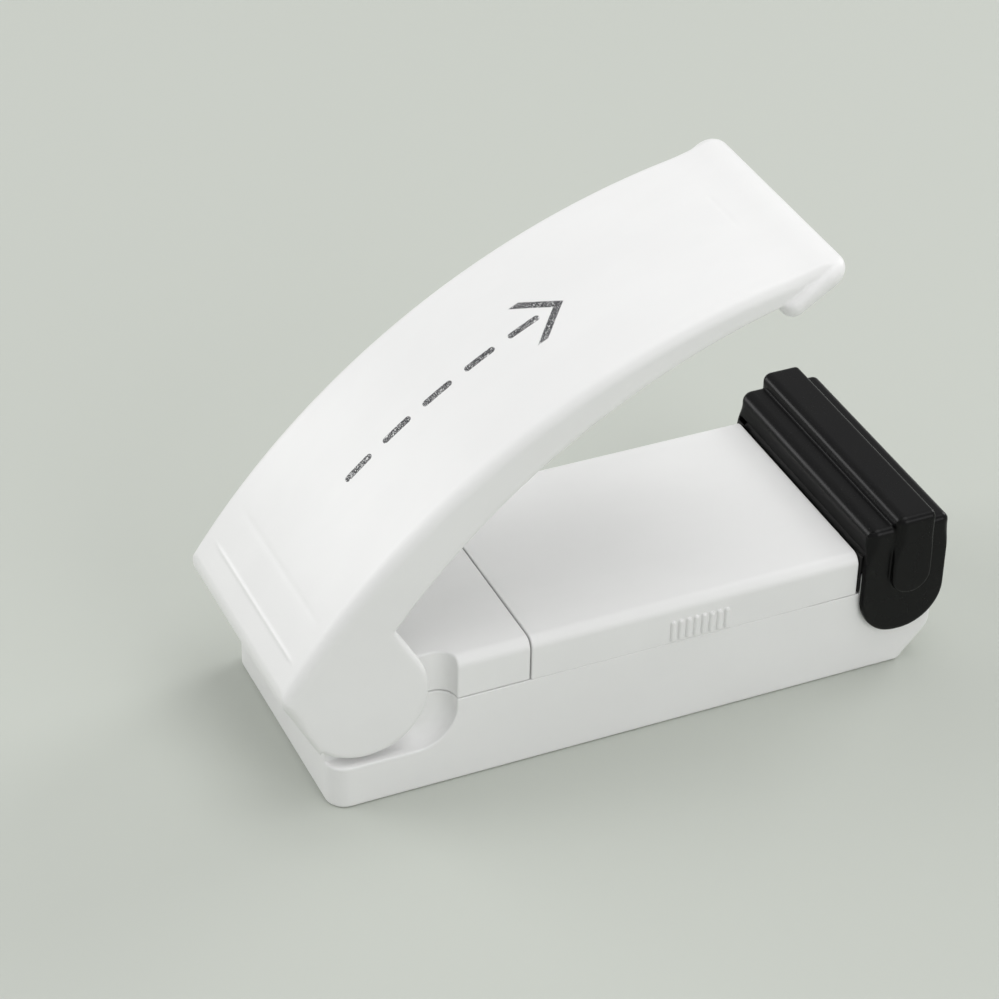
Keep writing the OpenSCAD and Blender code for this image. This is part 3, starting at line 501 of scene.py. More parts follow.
@dataclass(frozen=True)
class MouldedPlastic:
    """Injection-moulded plastic with a fine spark-eroded grain and faint flow marks."""

    name: str
    colour: tuple[float, float, float]
    roughness: float
    grain: float
    mottle: float = 0.03
    shine: float = 0.5

    GRAIN_SCALE = 2600.0
    FLOW_SCALE = 55.0
    FLOW_STRETCH = (1.0, 2.2, 1.6)
    HANDLED_SCALE = 190.0

    def shader(self) -> Shader:
        """Builds the graph.

        Returns:
            The graph, to which a finish of this kind may add.
        """
        made = Shader(self.name)
        grain = made.noise(self.GRAIN_SCALE, 2.0)
        flow = made.noise(self.FLOW_SCALE, 3.0, self.FLOW_STRETCH)
        handled = made.noise(self.HANDLED_SCALE, 4.0)
        tone = flow.step(0.35, 0.7)
        made.feed(Base_Color=made.blend(tone, shade(self.colour, 1.0 - self.mottle), shade(self.colour, 1.0)),
                  Roughness=self.roughness + 0.10 * (handled - 0.5) + 6.0 * self.grain * (grain - 0.5),
                  Specular_IOR_Level=self.shine)
        made.bump(grain + 0.35 * flow, self.grain * MM)
        return made

    def build(self) -> bpy.types.Material:
        """Gives the finished material."""
        return self.shader().material


@dataclass(frozen=True)
class RimmedPlastic(MouldedPlastic):
    """Moulded plastic, polished apart from a matt face at its rear."""

    rear_x: float = 0.0
    matt: float = 0.5
    face: Point = (0.3, 0.1)  # in front of the rear, where the matt face starts and where it is full

    def build(self) -> bpy.types.Material:
        """Builds the finish.

        Returns:
            The finished material.
        """
        made = self.shader()
        mask = made.axes()[0].step(*((self.rear_x + run) * MM for run in self.face))
        plain = Value(made, made.surface.inputs["Roughness"].links[0].from_socket)
        made.feed(Roughness=plain + self.matt * mask)
        return made.material


@dataclass(frozen=True)
class PrintedPlastic(MouldedPlastic):
    """Moulded plastic with a worn dashed arrow printed along an arched top."""

    ink: tuple[float, float, float] = (0.03, 0.03, 0.035)
    centre: Point = (0.0, 0.0)
    arch_r: float = 98.0
    tail_bearing: float = 0.0
    first: float = 21.5
    dash: float = 4.4
    pitch: float = 6.4
    count: int = 5
    thick: float = 1.0
    head: float = 4.4
    head_reach: float = 0.55
    soft: float = 0.07
    margin: float = 0.3

    SPECK_SCALE = 8200.0
    WEAR_SCALE = 1500.0

    def build(self) -> bpy.types.Material:
        """Builds the finish.

        Returns:
            The finished material.
        """
        made = self.shader()
        x, y, z = made.axes()
        dx = x - self.centre[0] * MM
        dz = z - self.centre[1] * MM
        along = (self.tail_bearing - dz.math("ARCTAN2", dx)) * self.arch_r
        side = abs(y) / MM
        high = (dx * dx + dz * dz).math("SQRT") / MM
        mask = self._dashes(along, side).math("MAXIMUM", self._head(along, side))
        specks = made.noise(self.SPECK_SCALE, 1.0).step(0.34, 0.44)
        worn = specks * made.noise(self.WEAR_SCALE, 3.0).step(0.28, 0.40)
        mask = mask * worn * high.step(self.arch_r - 0.6, self.arch_r - 0.4)
        plain = made.surface.inputs["Base Color"].links[0].from_socket
        made.feed(Base_Color=made.blend(mask, plain, shade(self.ink, 1.0)),
                  Roughness=Value(made, made.surface.inputs["Roughness"].links[0].from_socket) + 0.12 * mask)
        return made.material

    def _dashes(self, along: Value, side: Value) -> Value:
        """Masks a row of round-ended dashes on the middle line.

        Args:
            along: Length along the arch.
            side: Distance from the middle line.

        Returns:
            The mask, 1 on the dashes.
        """
        phase = (along - self.first).math("WRAP", self.pitch, 0.0)
        run = abs(phase - self.dash / 2) - (self.dash - self.thick) / 2
        far = run.math("MAXIMUM", 0.0)
        gap = (far * far + side * side).math("SQRT")
        row = along.step(self.first - self.margin, self.first - 0.2) * along.step(self.end, self.end - 0.1)
        return self._stroke(gap) * row

    def _head(self, along: Value, side: Value) -> Value:
        """Masks the arrow's head, an open chevron past the last dash.

        Args:
            along: Length along the arch.
            side: Distance from the middle line.

        Returns:
            The mask, 1 on the head.
        """
        tip = self.end + self.head * self.head_reach
        slope = abs(along + side - tip) / math.sqrt(2.0)
        return self._stroke(slope) * side.step(self.head, self.head - self.margin)

    def _stroke(self, way: Value) -> Value:
        """Masks a stroke of the print, given the distance from its middle line."""
        return way.step(self.thick / 2 + self.soft, self.thick / 2 - self.soft)

    @property
    def end(self) -> float:
        """Gives where the row of dashes ends along the arch."""
        return self.first + self.pitch * (self.count - 1) + self.dash + self.margin


@dataclass(frozen=True)
class DrawnMetal:
    """Metal with fine lines along its drawing or rolling direction, and a few stains."""

    name: str
    colour: tuple[float, float, float]
    roughness: float
    lines: tuple[float, float, float] = (1.0, 1.0, 1.0)
    stain: float = 0.12

    LINE_SCALE = 3000.0
    LINE_DEPTH = 0.004
    CLOUD_SCALE = 160.0

    def build(self) -> bpy.types.Material:
        """Builds the finish.

        Returns:
            The finished material.
        """
        made = Shader(self.name)
        fine = made.noise(self.LINE_SCALE, 2.0, self.lines)
        cloud = made.noise(self.CLOUD_SCALE, 4.0)
        tone = cloud.step(0.3, 0.75)
        made.feed(Base_Color=made.blend(tone, shade(self.colour, 1.0 - self.stain), shade(self.colour, 1.0)),
                  Metallic=1.0, Roughness=self.roughness + 0.16 * (fine - 0.5) + 0.10 * (1 - tone))
        made.bump(fine, self.LINE_DEPTH * MM)
        return made.material


@dataclass(frozen=True)
class SoftRubber:
    """Matt rubber or silicone with a dusty bloom."""

    name: str
    colour: tuple[float, float, float]
    roughness: float = 0.62

    BLOOM_SCALE = 240.0
    PORE_SCALE = 3600.0
    PORE_DEPTH = 0.01

    def build(self) -> bpy.types.Material:
        """Builds the finish.

        Returns:
            The finished material.
        """
        made = Shader(self.name)
        bloom = made.noise(self.BLOOM_SCALE, 4.0).step(0.4, 0.75)
        pores = made.noise(self.PORE_SCALE, 1.0)
        made.feed(Base_Color=made.blend(bloom, shade(self.colour, 0.92), shade(self.colour, 1.06)),
                  Roughness=self.roughness + 0.12 * bloom, Sheen_Weight=0.12)
        made.bump(pores, self.PORE_DEPTH * MM)
        return made.material


@dataclass(frozen=True)
class FiredCeramic:
    """Unglazed fired body with dark specks."""

    name: str
    colour: tuple[float, float, float]

    SPECK_SCALE = 2400.0
    BODY_SCALE = 400.0
    BODY_DEPTH = 0.02

    def build(self) -> bpy.types.Material:
        """Builds the finish.

        Returns:
            The finished material.
        """
        made = Shader(self.name)
        speck = made.noise(self.SPECK_SCALE, 1.0).step(0.66, 0.74)
        body = made.noise(self.BODY_SCALE, 4.0)
        made.feed(Base_Color=made.blend(speck, shade(self.colour, 1.0), shade(self.colour, 0.6)),
                  Roughness=0.78 + 0.1 * (body - 0.5))
        made.bump(body, self.BODY_DEPTH * MM)
        return made.material


@dataclass(frozen=True)
class CoatedCloth:
    """Glass cloth in a plain weave under a thin slippery coat."""

    name: str
    colour: tuple[float, float, float]
    thread: float = 0.28

    WEAR_SCALE = 220.0
    WEAVE_DEPTH = 0.03

    def build(self) -> bpy.types.Material:
        """Builds the finish.

        Returns:
            The finished material.
        """
        made = Shader(self.name)
        x, y, _ = made.axes()
        turn = 2.0 * math.pi / (2 * self.thread * MM)
        warp = (x * turn).math("SINE")
        weft = (y * turn).math("SINE")
        weave = 0.5 + 0.5 * warp * weft
        worn = made.noise(self.WEAR_SCALE, 3.0).step(0.35, 0.7)
        made.feed(Base_Color=made.blend(weave, shade(self.colour, 0.72), shade(self.colour, 1.1)),
                  Roughness=0.42 + 0.14 * worn, Coat_Weight=0.25, Coat_Roughness=0.3)
        made.bump(weave, self.WEAVE_DEPTH * MM)
        return made.material


@dataclass(frozen=True)
class ShrinkWrap:
    """Glossy shrink wrap of two cells lying head to tail, with a plain band and bare metal ends."""

    name: str
    colour: tuple[float, float, float]
    band: tuple[float, float, float]
    metal: tuple[float, float, float]
    plus: Point
    axis: Point
    band_at: Point = (6.0, 9.5)
    bare_r: float = 5.9
    soft: float = 0.1

    SCUFF_SCALE = 320.0
    SCUFF_DEPTH = 0.01

    def build(self) -> bpy.types.Material:
        """Builds the finish.

        Returns:
            The finished material.
        """
        made = Shader(self.name)
        x, y, z = made.axes()
        left = y.step(-self.soft * MM, self.soft * MM)
        along = left * (self.plus[0] * MM - x) + (1 - left) * (x - self.plus[1] * MM)
        start, end = self.band_at
        ring = along.step(start * MM, (start + self.soft) * MM) * along.step(end * MM, (end - self.soft) * MM)
        across, up = abs(y) - self.axis[0] * MM, z - self.axis[1] * MM
        way = (across * across + up * up).math("SQRT")
        bare = way.step((self.bare_r + self.soft) * MM, self.bare_r * MM)
        scuff = made.noise(self.SCUFF_SCALE, 4.0)
        wrap = made.blend(ring, shade(self.colour, 1.0), shade(self.band, 1.0))
        made.feed(Base_Color=made.blend(bare, wrap, shade(self.metal, 1.0)), Metallic=bare,
                  Roughness=0.28 + 0.2 * (scuff - 0.5), Coat_Weight=0.3 - 0.3 * bare, Coat_Roughness=0.12)
        made.bump(scuff, self.SCUFF_DEPTH * MM)
        return made.material


class Slot(Enum):
    """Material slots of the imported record."""

    WHITE = "white_shell"
    BLACK = "black_cap"
    HEATPROOF = "heatproof_black"
    SILICONE = "silicone"
    STEEL = "steel"
    SPRING = "spring_wire"
    PLATED = "plated_contact"
    BRASS = "brass"
    CERAMIC = "insulator"
    RIBBON = "ribbon"
    TAPE = "tape"
    CELL = "cell_wrap"
    BLACK_LEAD = "lead_black"
    RED_LEAD = "lead_red"


FINISHES: dict[Slot, Any] = {
    Slot.WHITE: MouldedPlastic("white moulded plastic", (0.86, 0.86, 0.855), 0.42, 0.006, 0.02),
    Slot.BLACK: RimmedPlastic("black moulded plastic", (0.003, 0.003, 0.0032), 0.27, 0.0012, 0.2, 0.18,
                              rear_x=29.73),
    Slot.HEATPROOF: MouldedPlastic("heat-proof moulding", (0.014, 0.0135, 0.0135), 0.55, 0.012, 0.25, 0.3),
    Slot.SILICONE: SoftRubber("white silicone", (0.72, 0.72, 0.70)),
    Slot.STEEL: DrawnMetal("zinc-plated steel", (0.62, 0.63, 0.65), 0.32, (1.0, 0.15, 1.0)),
    Slot.SPRING: DrawnMetal("drawn spring wire", (0.56, 0.56, 0.58), 0.28),
    Slot.PLATED: DrawnMetal("nickel-plated sheet", (0.68, 0.66, 0.62), 0.25, (1.0, 0.12, 1.0)),
    Slot.BRASS: DrawnMetal("plain brass", (0.74, 0.52, 0.22), 0.30, (0.15, 1.0, 1.0), 0.25),
    Slot.CERAMIC: FiredCeramic("unglazed insulator", (0.74, 0.70, 0.60)),
    Slot.RIBBON: DrawnMetal("resistance ribbon", (0.30, 0.28, 0.27), 0.38, (1.0, 0.1, 1.0), 0.3),
    Slot.TAPE: CoatedCloth("coated glass cloth", (0.46, 0.31, 0.17)),
    Slot.CELL: ShrinkWrap("cell wrap", (0.03, 0.20, 0.11), (0.60, 0.60, 0.55), (0.62, 0.62, 0.62),
                          (29.4, -22.7), (7.385, 9.12)),
    Slot.BLACK_LEAD: SoftRubber("black wire jacket", (0.02, 0.02, 0.02), 0.45),
    Slot.RED_LEAD: SoftRubber("red wire jacket", (0.42, 0.02, 0.015), 0.45),
}


class Paintbox:
    """Builds each finish once."""

    def __init__(self) -> None:
        """Starts empty."""
        self.made: dict[Any, bpy.types.Material] = {}

    def material(self, finish: Any) -> bpy.types.Material:
        """Gives the material of a finish.

        Args:
            finish: Any of the finishes.

        Returns:
            Its material, built at its first use.
        """
        if finish not in self.made:
            self.made[finish] = finish.build()
        return self.made[finish]

    def carry(self, node: str, slot: Slot) -> None:
        """Dresses a CAD node that stays as it is.

        Args:
            node: Name of the node.
            slot: Material slot it takes.
        """
        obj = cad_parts[node]
        material = self.material(FINISHES[slot])
        for holder in obj.material_slots:
            holder.material = material
        if not obj.material_slots:
            obj.data.materials.append(material)
        log.info("carried %s in %s", node, slot.value)

    def place(self, obj: bpy.types.Object, body: str, slot: Slot, *nodes: str, finish: Any = None) -> None:
        """Dresses a new piece and lets it ride on a body.

        Args:
            obj: The piece.
            body: Body it moves with.
            slot: Material slot of the record.
            nodes: CAD nodes that it stands for.
            finish: Finish to use in place of the slot's own.
        """
        obj.data.materials.clear()
        obj.data.materials.append(self.material(finish or FINISHES[slot]))
        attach(obj, body)
        if nodes:
            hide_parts(*nodes)
        log.info("placed %s on %s, %d faces", obj.name, body, len(obj.data.polygons))


class Maker(Graph):
    """A Geometry Nodes tree with named sizes, used once and turned into a plain mesh."""

    def __init__(self, name: str, sizes: dict[str, float | int]) -> None:
        """Makes the tree.

        Args:
            name: Name of the tree.
            sizes: Named inputs and their values.
        """
        super().__init__(bpy.data.node_groups.new(name, "GeometryNodeTree"))
        self.sizes = sizes
        face = self.tree.interface
        face.new_socket("Geometry", in_out="INPUT", socket_type="NodeSocketGeometry")
        kinds = {int: "NodeSocketInt", float: "NodeSocketFloat"}
        self.keys = {key: face.new_socket(key, in_out="INPUT", socket_type=kinds[type(value)]).identifier
                     for key, value in sizes.items()}
        face.new_socket("Geometry", in_out="OUTPUT", socket_type="NodeSocketGeometry")
        self.given = self.node("NodeGroupInput")

    def size(self, key: str) -> Value:
        """Gives a named size as a value."""
        return Value(self, self.given.outputs[key])

    def vector(self, x: Any = 0.0, y: Any = 0.0, z: Any = 0.0) -> bpy.types.NodeSocket:
        """Joins three numbers into a vector."""
        return self.node("ShaderNodeCombineXYZ", {}, {0: x, 1: y, 2: z}).outputs[0]

    def tube(self, path: bpy.types.NodeSocket, radius: Value, sides: int) -> bpy.types.NodeSocket:
        """Sweeps a round section along a curve, with closed ends."""
        ring = self.node("GeometryNodeCurvePrimitiveCircle", {"mode": "RADIUS"},
                         {"Resolution": sides, "Radius": radius}).outputs[0]
        return self.node("GeometryNodeCurveToMesh", {},
                         {"Curve": path, "Profile Curve": ring, "Fill Caps": True}).outputs[0]

    def copies(self, points: bpy.types.NodeSocket) -> bpy.types.NodeSocket:
        """Puts a copy of the source on each point."""
        return self.node("GeometryNodeInstanceOnPoints", {}, {
            "Points": points, "Instance": self.given.outputs["Geometry"]}).outputs[0]

    def joined(self, parts: Sequence[bpy.types.NodeSocket]) -> bpy.types.NodeSocket:
        """Joins some shapes into one.

        Args:
            parts: Their sockets.

        Returns:
            The socket of the whole.
        """
        whole = self.node("GeometryNodeJoinGeometry")
        for part in parts:
            self.tree.links.new(part, whole.inputs[0])
        return whole.outputs[0]

    def made(self, geometry: bpy.types.NodeSocket, source: bpy.types.Object,
             material: bpy.types.Material) -> bpy.types.Object:
        """Ends the tree, runs it and keeps the result as a plain mesh.

        Args:
            geometry: Last socket of the shape.
            source: Object that gives the tree its input, which becomes the piece.
            material: Material of the result.

        Returns:
            The piece, without a modifier.
        """
        real = self.node("GeometryNodeRealizeInstances", {}, {0: geometry}).outputs[0]
        soft = self.node("GeometryNodeSetShadeSmooth", {}, {0: real}).outputs[0]
        dressed = self.node("GeometryNodeSetMaterial", {}, {"Geometry": soft, "Material": material})
        self.node("NodeGroupOutput", {}, {0: dressed.outputs[0]})
        modifier = source.modifiers.new(self.tree.name, "NODES")
        modifier.node_group = self.tree
        for key, value in self.sizes.items():
            modifier[self.keys[key]] = value
        bpy.context.view_layer.update()
        graph = bpy.context.evaluated_depsgraph_get()
        mesh = bpy.data.meshes.new_from_object(source.evaluated_get(graph), depsgraph=graph)
        source.modifiers.remove(modifier)
        mesh.name = source.name
        source.data = mesh
        return source


def points_piece(name: str, points: Sequence[Sequence[float]], chain: bool = False) -> bpy.types.Object:
    """Makes a mesh of bare points.

    Args:
        name: Name of the object.
        points: Points in millimetres.
        chain: Whether edges join them in a row.

    Returns:
        The linked object.
    """
    mesh = bpy.data.meshes.new(name)
    edges = [(i, i + 1) for i in range(len(points) - 1)] if chain else []
    mesh.from_pydata([tuple(v * MM for v in p) for p in points], edges, [])
    obj = bpy.data.objects.new(name, mesh)
    bpy.context.scene.collection.objects.link(obj)
    return obj


@dataclass(frozen=True)
class Coil:
    """A wire wound round an axis."""

    start: tuple[float, float, float]
    axis: tuple[float, float, float]
    wide: float
    narrow: float
    rise: float
    turns: float
    wire: float

    STEPS = 40
    SIDES = 14

    def build(self, name: str, material: bpy.types.Material) -> bpy.types.Object:
        """Winds the wire with Geometry Nodes.

        Args:
            name: Name of the piece.
            material: Material of the wire.

        Returns:
            The linked object.
        """
        sizes = {"Wide": self.wide * MM, "Narrow": self.narrow * MM, "Rise": self.rise * MM,
                 "Turns": float(self.turns), "Wire": self.wire * MM}
        maker = Maker(name, sizes)
        path = maker.node("GeometryNodeCurveSpiral", {}, {
            "Resolution": self.STEPS, "Rotations": maker.size("Turns"), "Start Radius": maker.size("Wide"),
            "End Radius": maker.size("Narrow"), "Height": maker.size("Rise")}).outputs[0]
        tube = maker.tube(path, maker.size("Wire"), self.SIDES)
        obj = maker.made(tube, points_piece(name, [(0, 0, 0)]), material)
        turn = Vector((0, 0, 1)).rotation_difference(Vector(self.axis)).to_matrix().to_4x4()
        obj.data.transform(Matrix.Translation(Vector(self.start) * MM) @ turn)
        return obj


@dataclass(frozen=True)
class Lead:
    """A jacketed wire along a route with its corners rounded off."""

    route: tuple[tuple[float, float, float], ...]
    radius: float

    ROUNDS = 3
    SIDES = 16
    SHARP = 50.0

    def build(self, name: str, material: bpy.types.Material) -> bpy.types.Object:
        """Sweeps the jacket along the route with Geometry Nodes.

        Args:
            name: Name of the piece.
            material: Material of the jacket.

        Returns:
            The linked object.
        """
        points = [Vector(p) for p in self.route]
        for _ in range(self.ROUNDS):
            cut = [(a.lerp(b, 0.25), a.lerp(b, 0.75)) for a, b in zip(points, points[1:])]
            points = [points[0], *[p for pair in cut for p in pair], points[-1]]
        maker = Maker(name, {"Radius": self.radius * MM})
        line = maker.node("GeometryNodeMeshToCurve", {}, {0: maker.given.outputs["Geometry"]}).outputs[0]
        tube = maker.tube(line, maker.size("Radius"), self.SIDES)
        obj = maker.made(tube, points_piece(name, points, True), material)
        obj.data.set_sharp_from_angle(angle=math.radians(self.SHARP))
        return obj


@dataclass(frozen=True)
class Turned:
    """A piece turned about an axis, given as a row of distances along it and radii."""

    start: tuple[float, float, float]
    axis: tuple[float, float, float]
    rows: tuple[Point, ...]

    STEPS = 56
    SHARP = 35.0
    EDGE_TURNS = range(0, 91, 18)

    @classmethod
    def rod(cls, start: tuple[float, float, float], axis: tuple[float, float, float], length: float, r: float,
            edge: float) -> "Turned":
        """Gives a plain rod.

        Args:
            start: Middle of its first end.
            axis: Direction.
            length: Length.
            r: Radius.
            edge: Rounding of its ends.

        Returns:
            The turned part.
        """
        turns = [math.radians(a) for a in cls.EDGE_TURNS]
        rise = [(edge * (1 - math.sin(a)), r - edge * (1 - math.cos(a))) for a in turns]
        return cls(start, axis, (*rise[::-1], *[(length - t, way) for t, way in rise]))

    @classmethod
    def piece(cls, name: str, parts: Sequence["Turned"]) -> bpy.types.Object:
        """Makes one object of several turned parts.

        Args:
            name: Name of the piece.
            parts: The turned parts.

        Returns:
            The linked object.
        """
        points: list[Vector] = []
        faces: list[tuple[int, ...]] = []
        for part in parts:
            base = len(points)
            along = Vector(part.axis).normalized()
            side = along.orthogonal().normalized()
            other = along.cross(side)
            for t, r in part.rows:
                for k in range(cls.STEPS):
                    a = 2 * math.pi * k / cls.STEPS
                    spoke = side * math.cos(a) + other * math.sin(a)
                    points.append((Vector(part.start) + along * t + spoke * r) * MM)
            rings = [[base + row * cls.STEPS + k for k in range(cls.STEPS)] for row in range(len(part.rows))]
            for low, high in zip(rings, rings[1:]):
                faces += [(low[k], low[(k + 1) % cls.STEPS], high[(k + 1) % cls.STEPS], high[k])
                          for k in range(cls.STEPS)]
            faces += [tuple(rings[0][::-1]), tuple(rings[-1])]
        obj = mesh_piece(name, points, faces)
        obj.data.set_sharp_from_angle(angle=math.radians(cls.SHARP))
        return obj


@dataclass(frozen=True)
class CaseScrew:
    """A pan-head screw, head down, with a cross recess and a threaded shank."""

    head_r: float = 1.6
    head_z: Point = (1.15, 2.35)
    head_edge: float = 0.35
    shank_r: float = 0.98
    shank_z: Point = (2.0, 14.9)
    shank_edge: float = 0.3
    pitch: float = 0.7
    thread_h: float = 0.12
    cross: tuple[float, float, float] = (0.95, 0.25, 1.75)  # half length, half width and top
    cross_edge: float = 0.05
    grid: float = 0.14

    def field(self, x: Array, y: Array, z: Array) -> Array:
        """Describes the screw, upright at the origin.

        Args:
            x: Forward coordinates.
            y: Sideways coordinates.
            z: Heights.

        Returns:
            Distances, negative inside.
        """
        way = np.hypot(x, y)
        head = meet(way - self.head_r, slab(z, *self.head_z), self.head_edge)
        turn = np.arctan2(y, x) / (2 * math.pi)
        thread = self.thread_h * np.abs(((z / self.pitch - turn) % 1.0) - 0.5)
        shank = meet(way - self.shank_r + thread, slab(z, *self.shank_z), self.shank_edge)
        long, thin, top = self.cross
        cross = np.minimum(block(x, y, z, (-long, -thin, 0.0), (long, thin, top), self.cross_edge),
                           block(x, y, z, (-thin, -long, 0.0), (thin, long, top), self.cross_edge))
        return carve(np.minimum(head, shank), cross, self.cross_edge)

    def skin(self) -> Skin:
        """Wraps the screw."""
        side = graded(-1.8, 1.8, self.grid)
        return Skin(self.field, (side, side, graded(0.9, 15.2, self.grid)))


@dataclass
class Casing:
    """The white base: lower shell, rear cover, battery cover, grip ribs and case screws."""

    half_l: float = 40.9
    half_w: float = 16.505
    height: float = 18.3
    wall: float = 1.6
    fit: float = 0.05
    clear: float = 2.0
    parting_z: float = 12.35
    parting_gap: float = 0.15
    split_x: float = -15.25
    split_gap: float = 0.22
    cells_x: float = -23.2
    web_x: float = 29.9
    web_t: float = 1.2
    cover_x: float = 29.3
    seat_z: float = 15.0
    edge_r: float = 1.5
    corner_r: float = 2.5
    front_r: float = 1.0
    foot_r: float = 0.5
    room_r: float = 0.3
    room_lap: float = 1.0
    nose_h: float = 5.0
    nose_l: float = 4.4
    pivot: Point = (-36.2, 14.7)
    recess_y: float = 14.005
    recess_r: float = 5.1
    ledge_z: float = 6.05
    recess_fillet: float = 2.3
    ledge_fillet: float = 0.3
    fillet_run: Point = (9.7, 4.7)  # behind the recess's front wall, where one fillet becomes the other
    rim_r: float = 0.22
    line_r: float = 0.14
    line_fade: float = 0.4
    fine_r: float = 0.05
    fine_gap: Point = (0.04, 0.13)
    fine_x: Point = (20.0, 28.0)
    slot: tuple[float, float, float] = (-30.37, -27.0, 6.1)  # rear end, front end and half width
    slot_r: float = 0.5
    slot_rim: float = 0.25
    hinge_r: float = 1.55
    rear_screw: Point = (-31.9, 8.3777)
    front_screw: Point = (33.6, 7.0)
    counterbore: Point = (1.75, 2.4)  # radius and top
    bore_r: float = 1.15
    pilot_r: float = 1.05
    hole_rim: float = 0.1
    boss_r: float = 2.4
    root_z: float = 0.6
    rear_boss_z: float = 10.55
    cover_boss_z: float = 10.6
    front_boss_z: float = 13.2
    cap_pin: Point = (35.65, 12.0)
    cap_pin_r: float = 1.25
    spring_at: Point = (-28.22, -3.3)
    spring_seat: Point = (2.6, 4.55)  # radius and top
    peg: Point = (1.3, 7.0)  # radius and top
    peg_edge: float = 0.4
    switch_y: float = 4.4
    post_r: float = 1.2
    leaf_post_z: float = 8.4
    contact_post_z: float = 10.66
    rib_n: int = 8
    rib_pitch: float = 1.05
    rib_r: float = 0.36
    rib_h: float = 3.1
    rib_x: float = 7.4

    RECESS_SPOTS = ((-24.9, 0.6, 0.1), (-26.4, 2.2, 0.22))

    @property
    def recess_x(self) -> float:
        """Gives the front wall of the ear recesses."""
        return self.cells_x - self.wall

    @property
    def inner(self) -> float:
        """Gives the half width inside the walls."""
        return self.half_w - self.wall

    @property
    def rear_half(self) -> float:
        """Gives the half width inside the walls beside the ear recesses."""
        return self.recess_y - self.wall

    def recess(self, x: Array, w: Array, z: Array) -> Array:
        """Gives the room that an ear of the lever needs in each side, open to the rear.

        Args:
            x: Forward coordinates.
            w: Distances from the middle plane.
            z: Heights.

        Returns:
            Distances, negative inside.
        """
        shape = meet(x - self.recess_x, self.ledge_z - z, self.recess_r)
        wide = smooth(x, *(self.recess_x - run for run in self.fillet_run))
        fillet = self.ledge_fillet + (self.recess_fillet - self.ledge_fillet) * wide
        return meet(shape, self.recess_y - w, fillet)

    def line(self, x: Array) -> Array:
        """Gives the rounding of the parting line, which is finer along the battery cover."""
        late = smooth(x, self.split_x - self.line_fade, self.split_x + self.line_fade)
        return self.line_r + (self.fine_r - self.line_r) * late

    def lower_field(self, x: Array, y: Array, z: Array) -> Array:
        """Describes the lower shell.

        Args:
            x: Forward coordinates.
            y: Sideways coordinates.
            z: Heights.

        Returns:
            Distances, negative inside.
        """
        w = np.abs(y)
        plan = meet(np.abs(x) - self.half_l, w - self.half_w, np.where(x < 0.0, self.corner_r, self.front_r))
        slope = math.hypot(self.nose_h, self.nose_l)
        nose = ((x - self.half_l + self.nose_l) * self.nose_h - z * self.nose_l) / slope
        outer = meet(meet(plan, -z, self.foot_r), nose, self.foot_r)
        tray = meet(outer, z - self.parting_z, self.line(x))
        head = meet(meet(outer, self.web_x - x, self.line_r), z - self.seat_z, self.line_r)
        body = carve(np.minimum(tray, head), self.rooms(x, y, z, nose), self.line_r)
        body = np.minimum(body, self.posts(x, y, z))
        body = carve(body, self.recess(x, w, z), self.rim_r)
        holes = [self.screw_hole(x, w, z, at) for at in (self.rear_screw, self.front_screw)]
        pins = np.maximum(disc(x, z, self.cap_pin, self.cap_pin_r), self.inner - self.fit - w)
        return carve(body, np.minimum(np.minimum(*holes), pins), self.hole_rim)

    def rooms(self, x: Array, y: Array, z: Array, nose: Array) -> Array:
        """Gives the three rooms inside the lower shell.

        Args:
            x: Forward coordinates.
            y: Sideways coordinates.
            z: Heights.
            nose: Distances to the sloping nose.

        Returns:
            Distances, negative inside.
        """
        runs = ((self.wall - self.half_l, self.recess_x, self.rear_half),
                (self.cells_x, self.web_x, self.inner),
                (self.web_x + self.web_t, self.half_l - self.wall, self.inner))
        rear, cells, head = (block(x, y, z, (low, -half, self.wall), (high, half, self.height + self.clear),
                                   self.room_r) for low, high, half in runs)
        return np.minimum(np.minimum(rear, cells), np.maximum(head, nose + self.wall))

    def posts(self, x: Array, y: Array, z: Array) -> Array:
        """Gives the bosses, the spring seat with its peg, and the posts of the switch.

        Args:
            x: Forward coordinates.
            y: Sideways coordinates.
            z: Heights.

        Returns:
            Distances, negative inside.
        """
        w = np.abs(y)
        columns = ((disc(x, w, self.rear_screw, self.boss_r), self.rear_boss_z),
                   (disc(x, w, self.front_screw, self.boss_r), self.front_boss_z),
                   (disc(x, y, self.spring_at, self.spring_seat[0]), self.spring_seat[1]),
                   (disc(x, y, (self.pivot[0], self.switch_y), self.post_r), self.leaf_post_z),
                   (disc(x, y, (self.spring_at[0], self.switch_y), self.post_r), self.contact_post_z))
        made = meet(disc(x, y, self.spring_at, self.peg[0]), slab(z, self.root_z, self.peg[1]), self.peg_edge)
        for column, top in columns:
            made = np.minimum(made, np.maximum(column, slab(z, self.root_z, top)))
        return made

    def screw_hole(self, x: Array, w: Array, z: Array, at: Point) -> Array:
        """Gives a case screw's hole and counterbore, one on each side."""
        return np.minimum(np.maximum(disc(x, w, at, self.counterbore[0]), z - self.counterbore[1]),
                          np.maximum(disc(x, w, at, self.bore_r), z - self.height))

    def cover_field(self, w: Array, z: Array, low: Any, r: float) -> Array:
        """Describes the outside that both upper covers share, above the height low."""
        return meet(meet(w - self.half_w, z - self.height, self.edge_r), low - z, r)

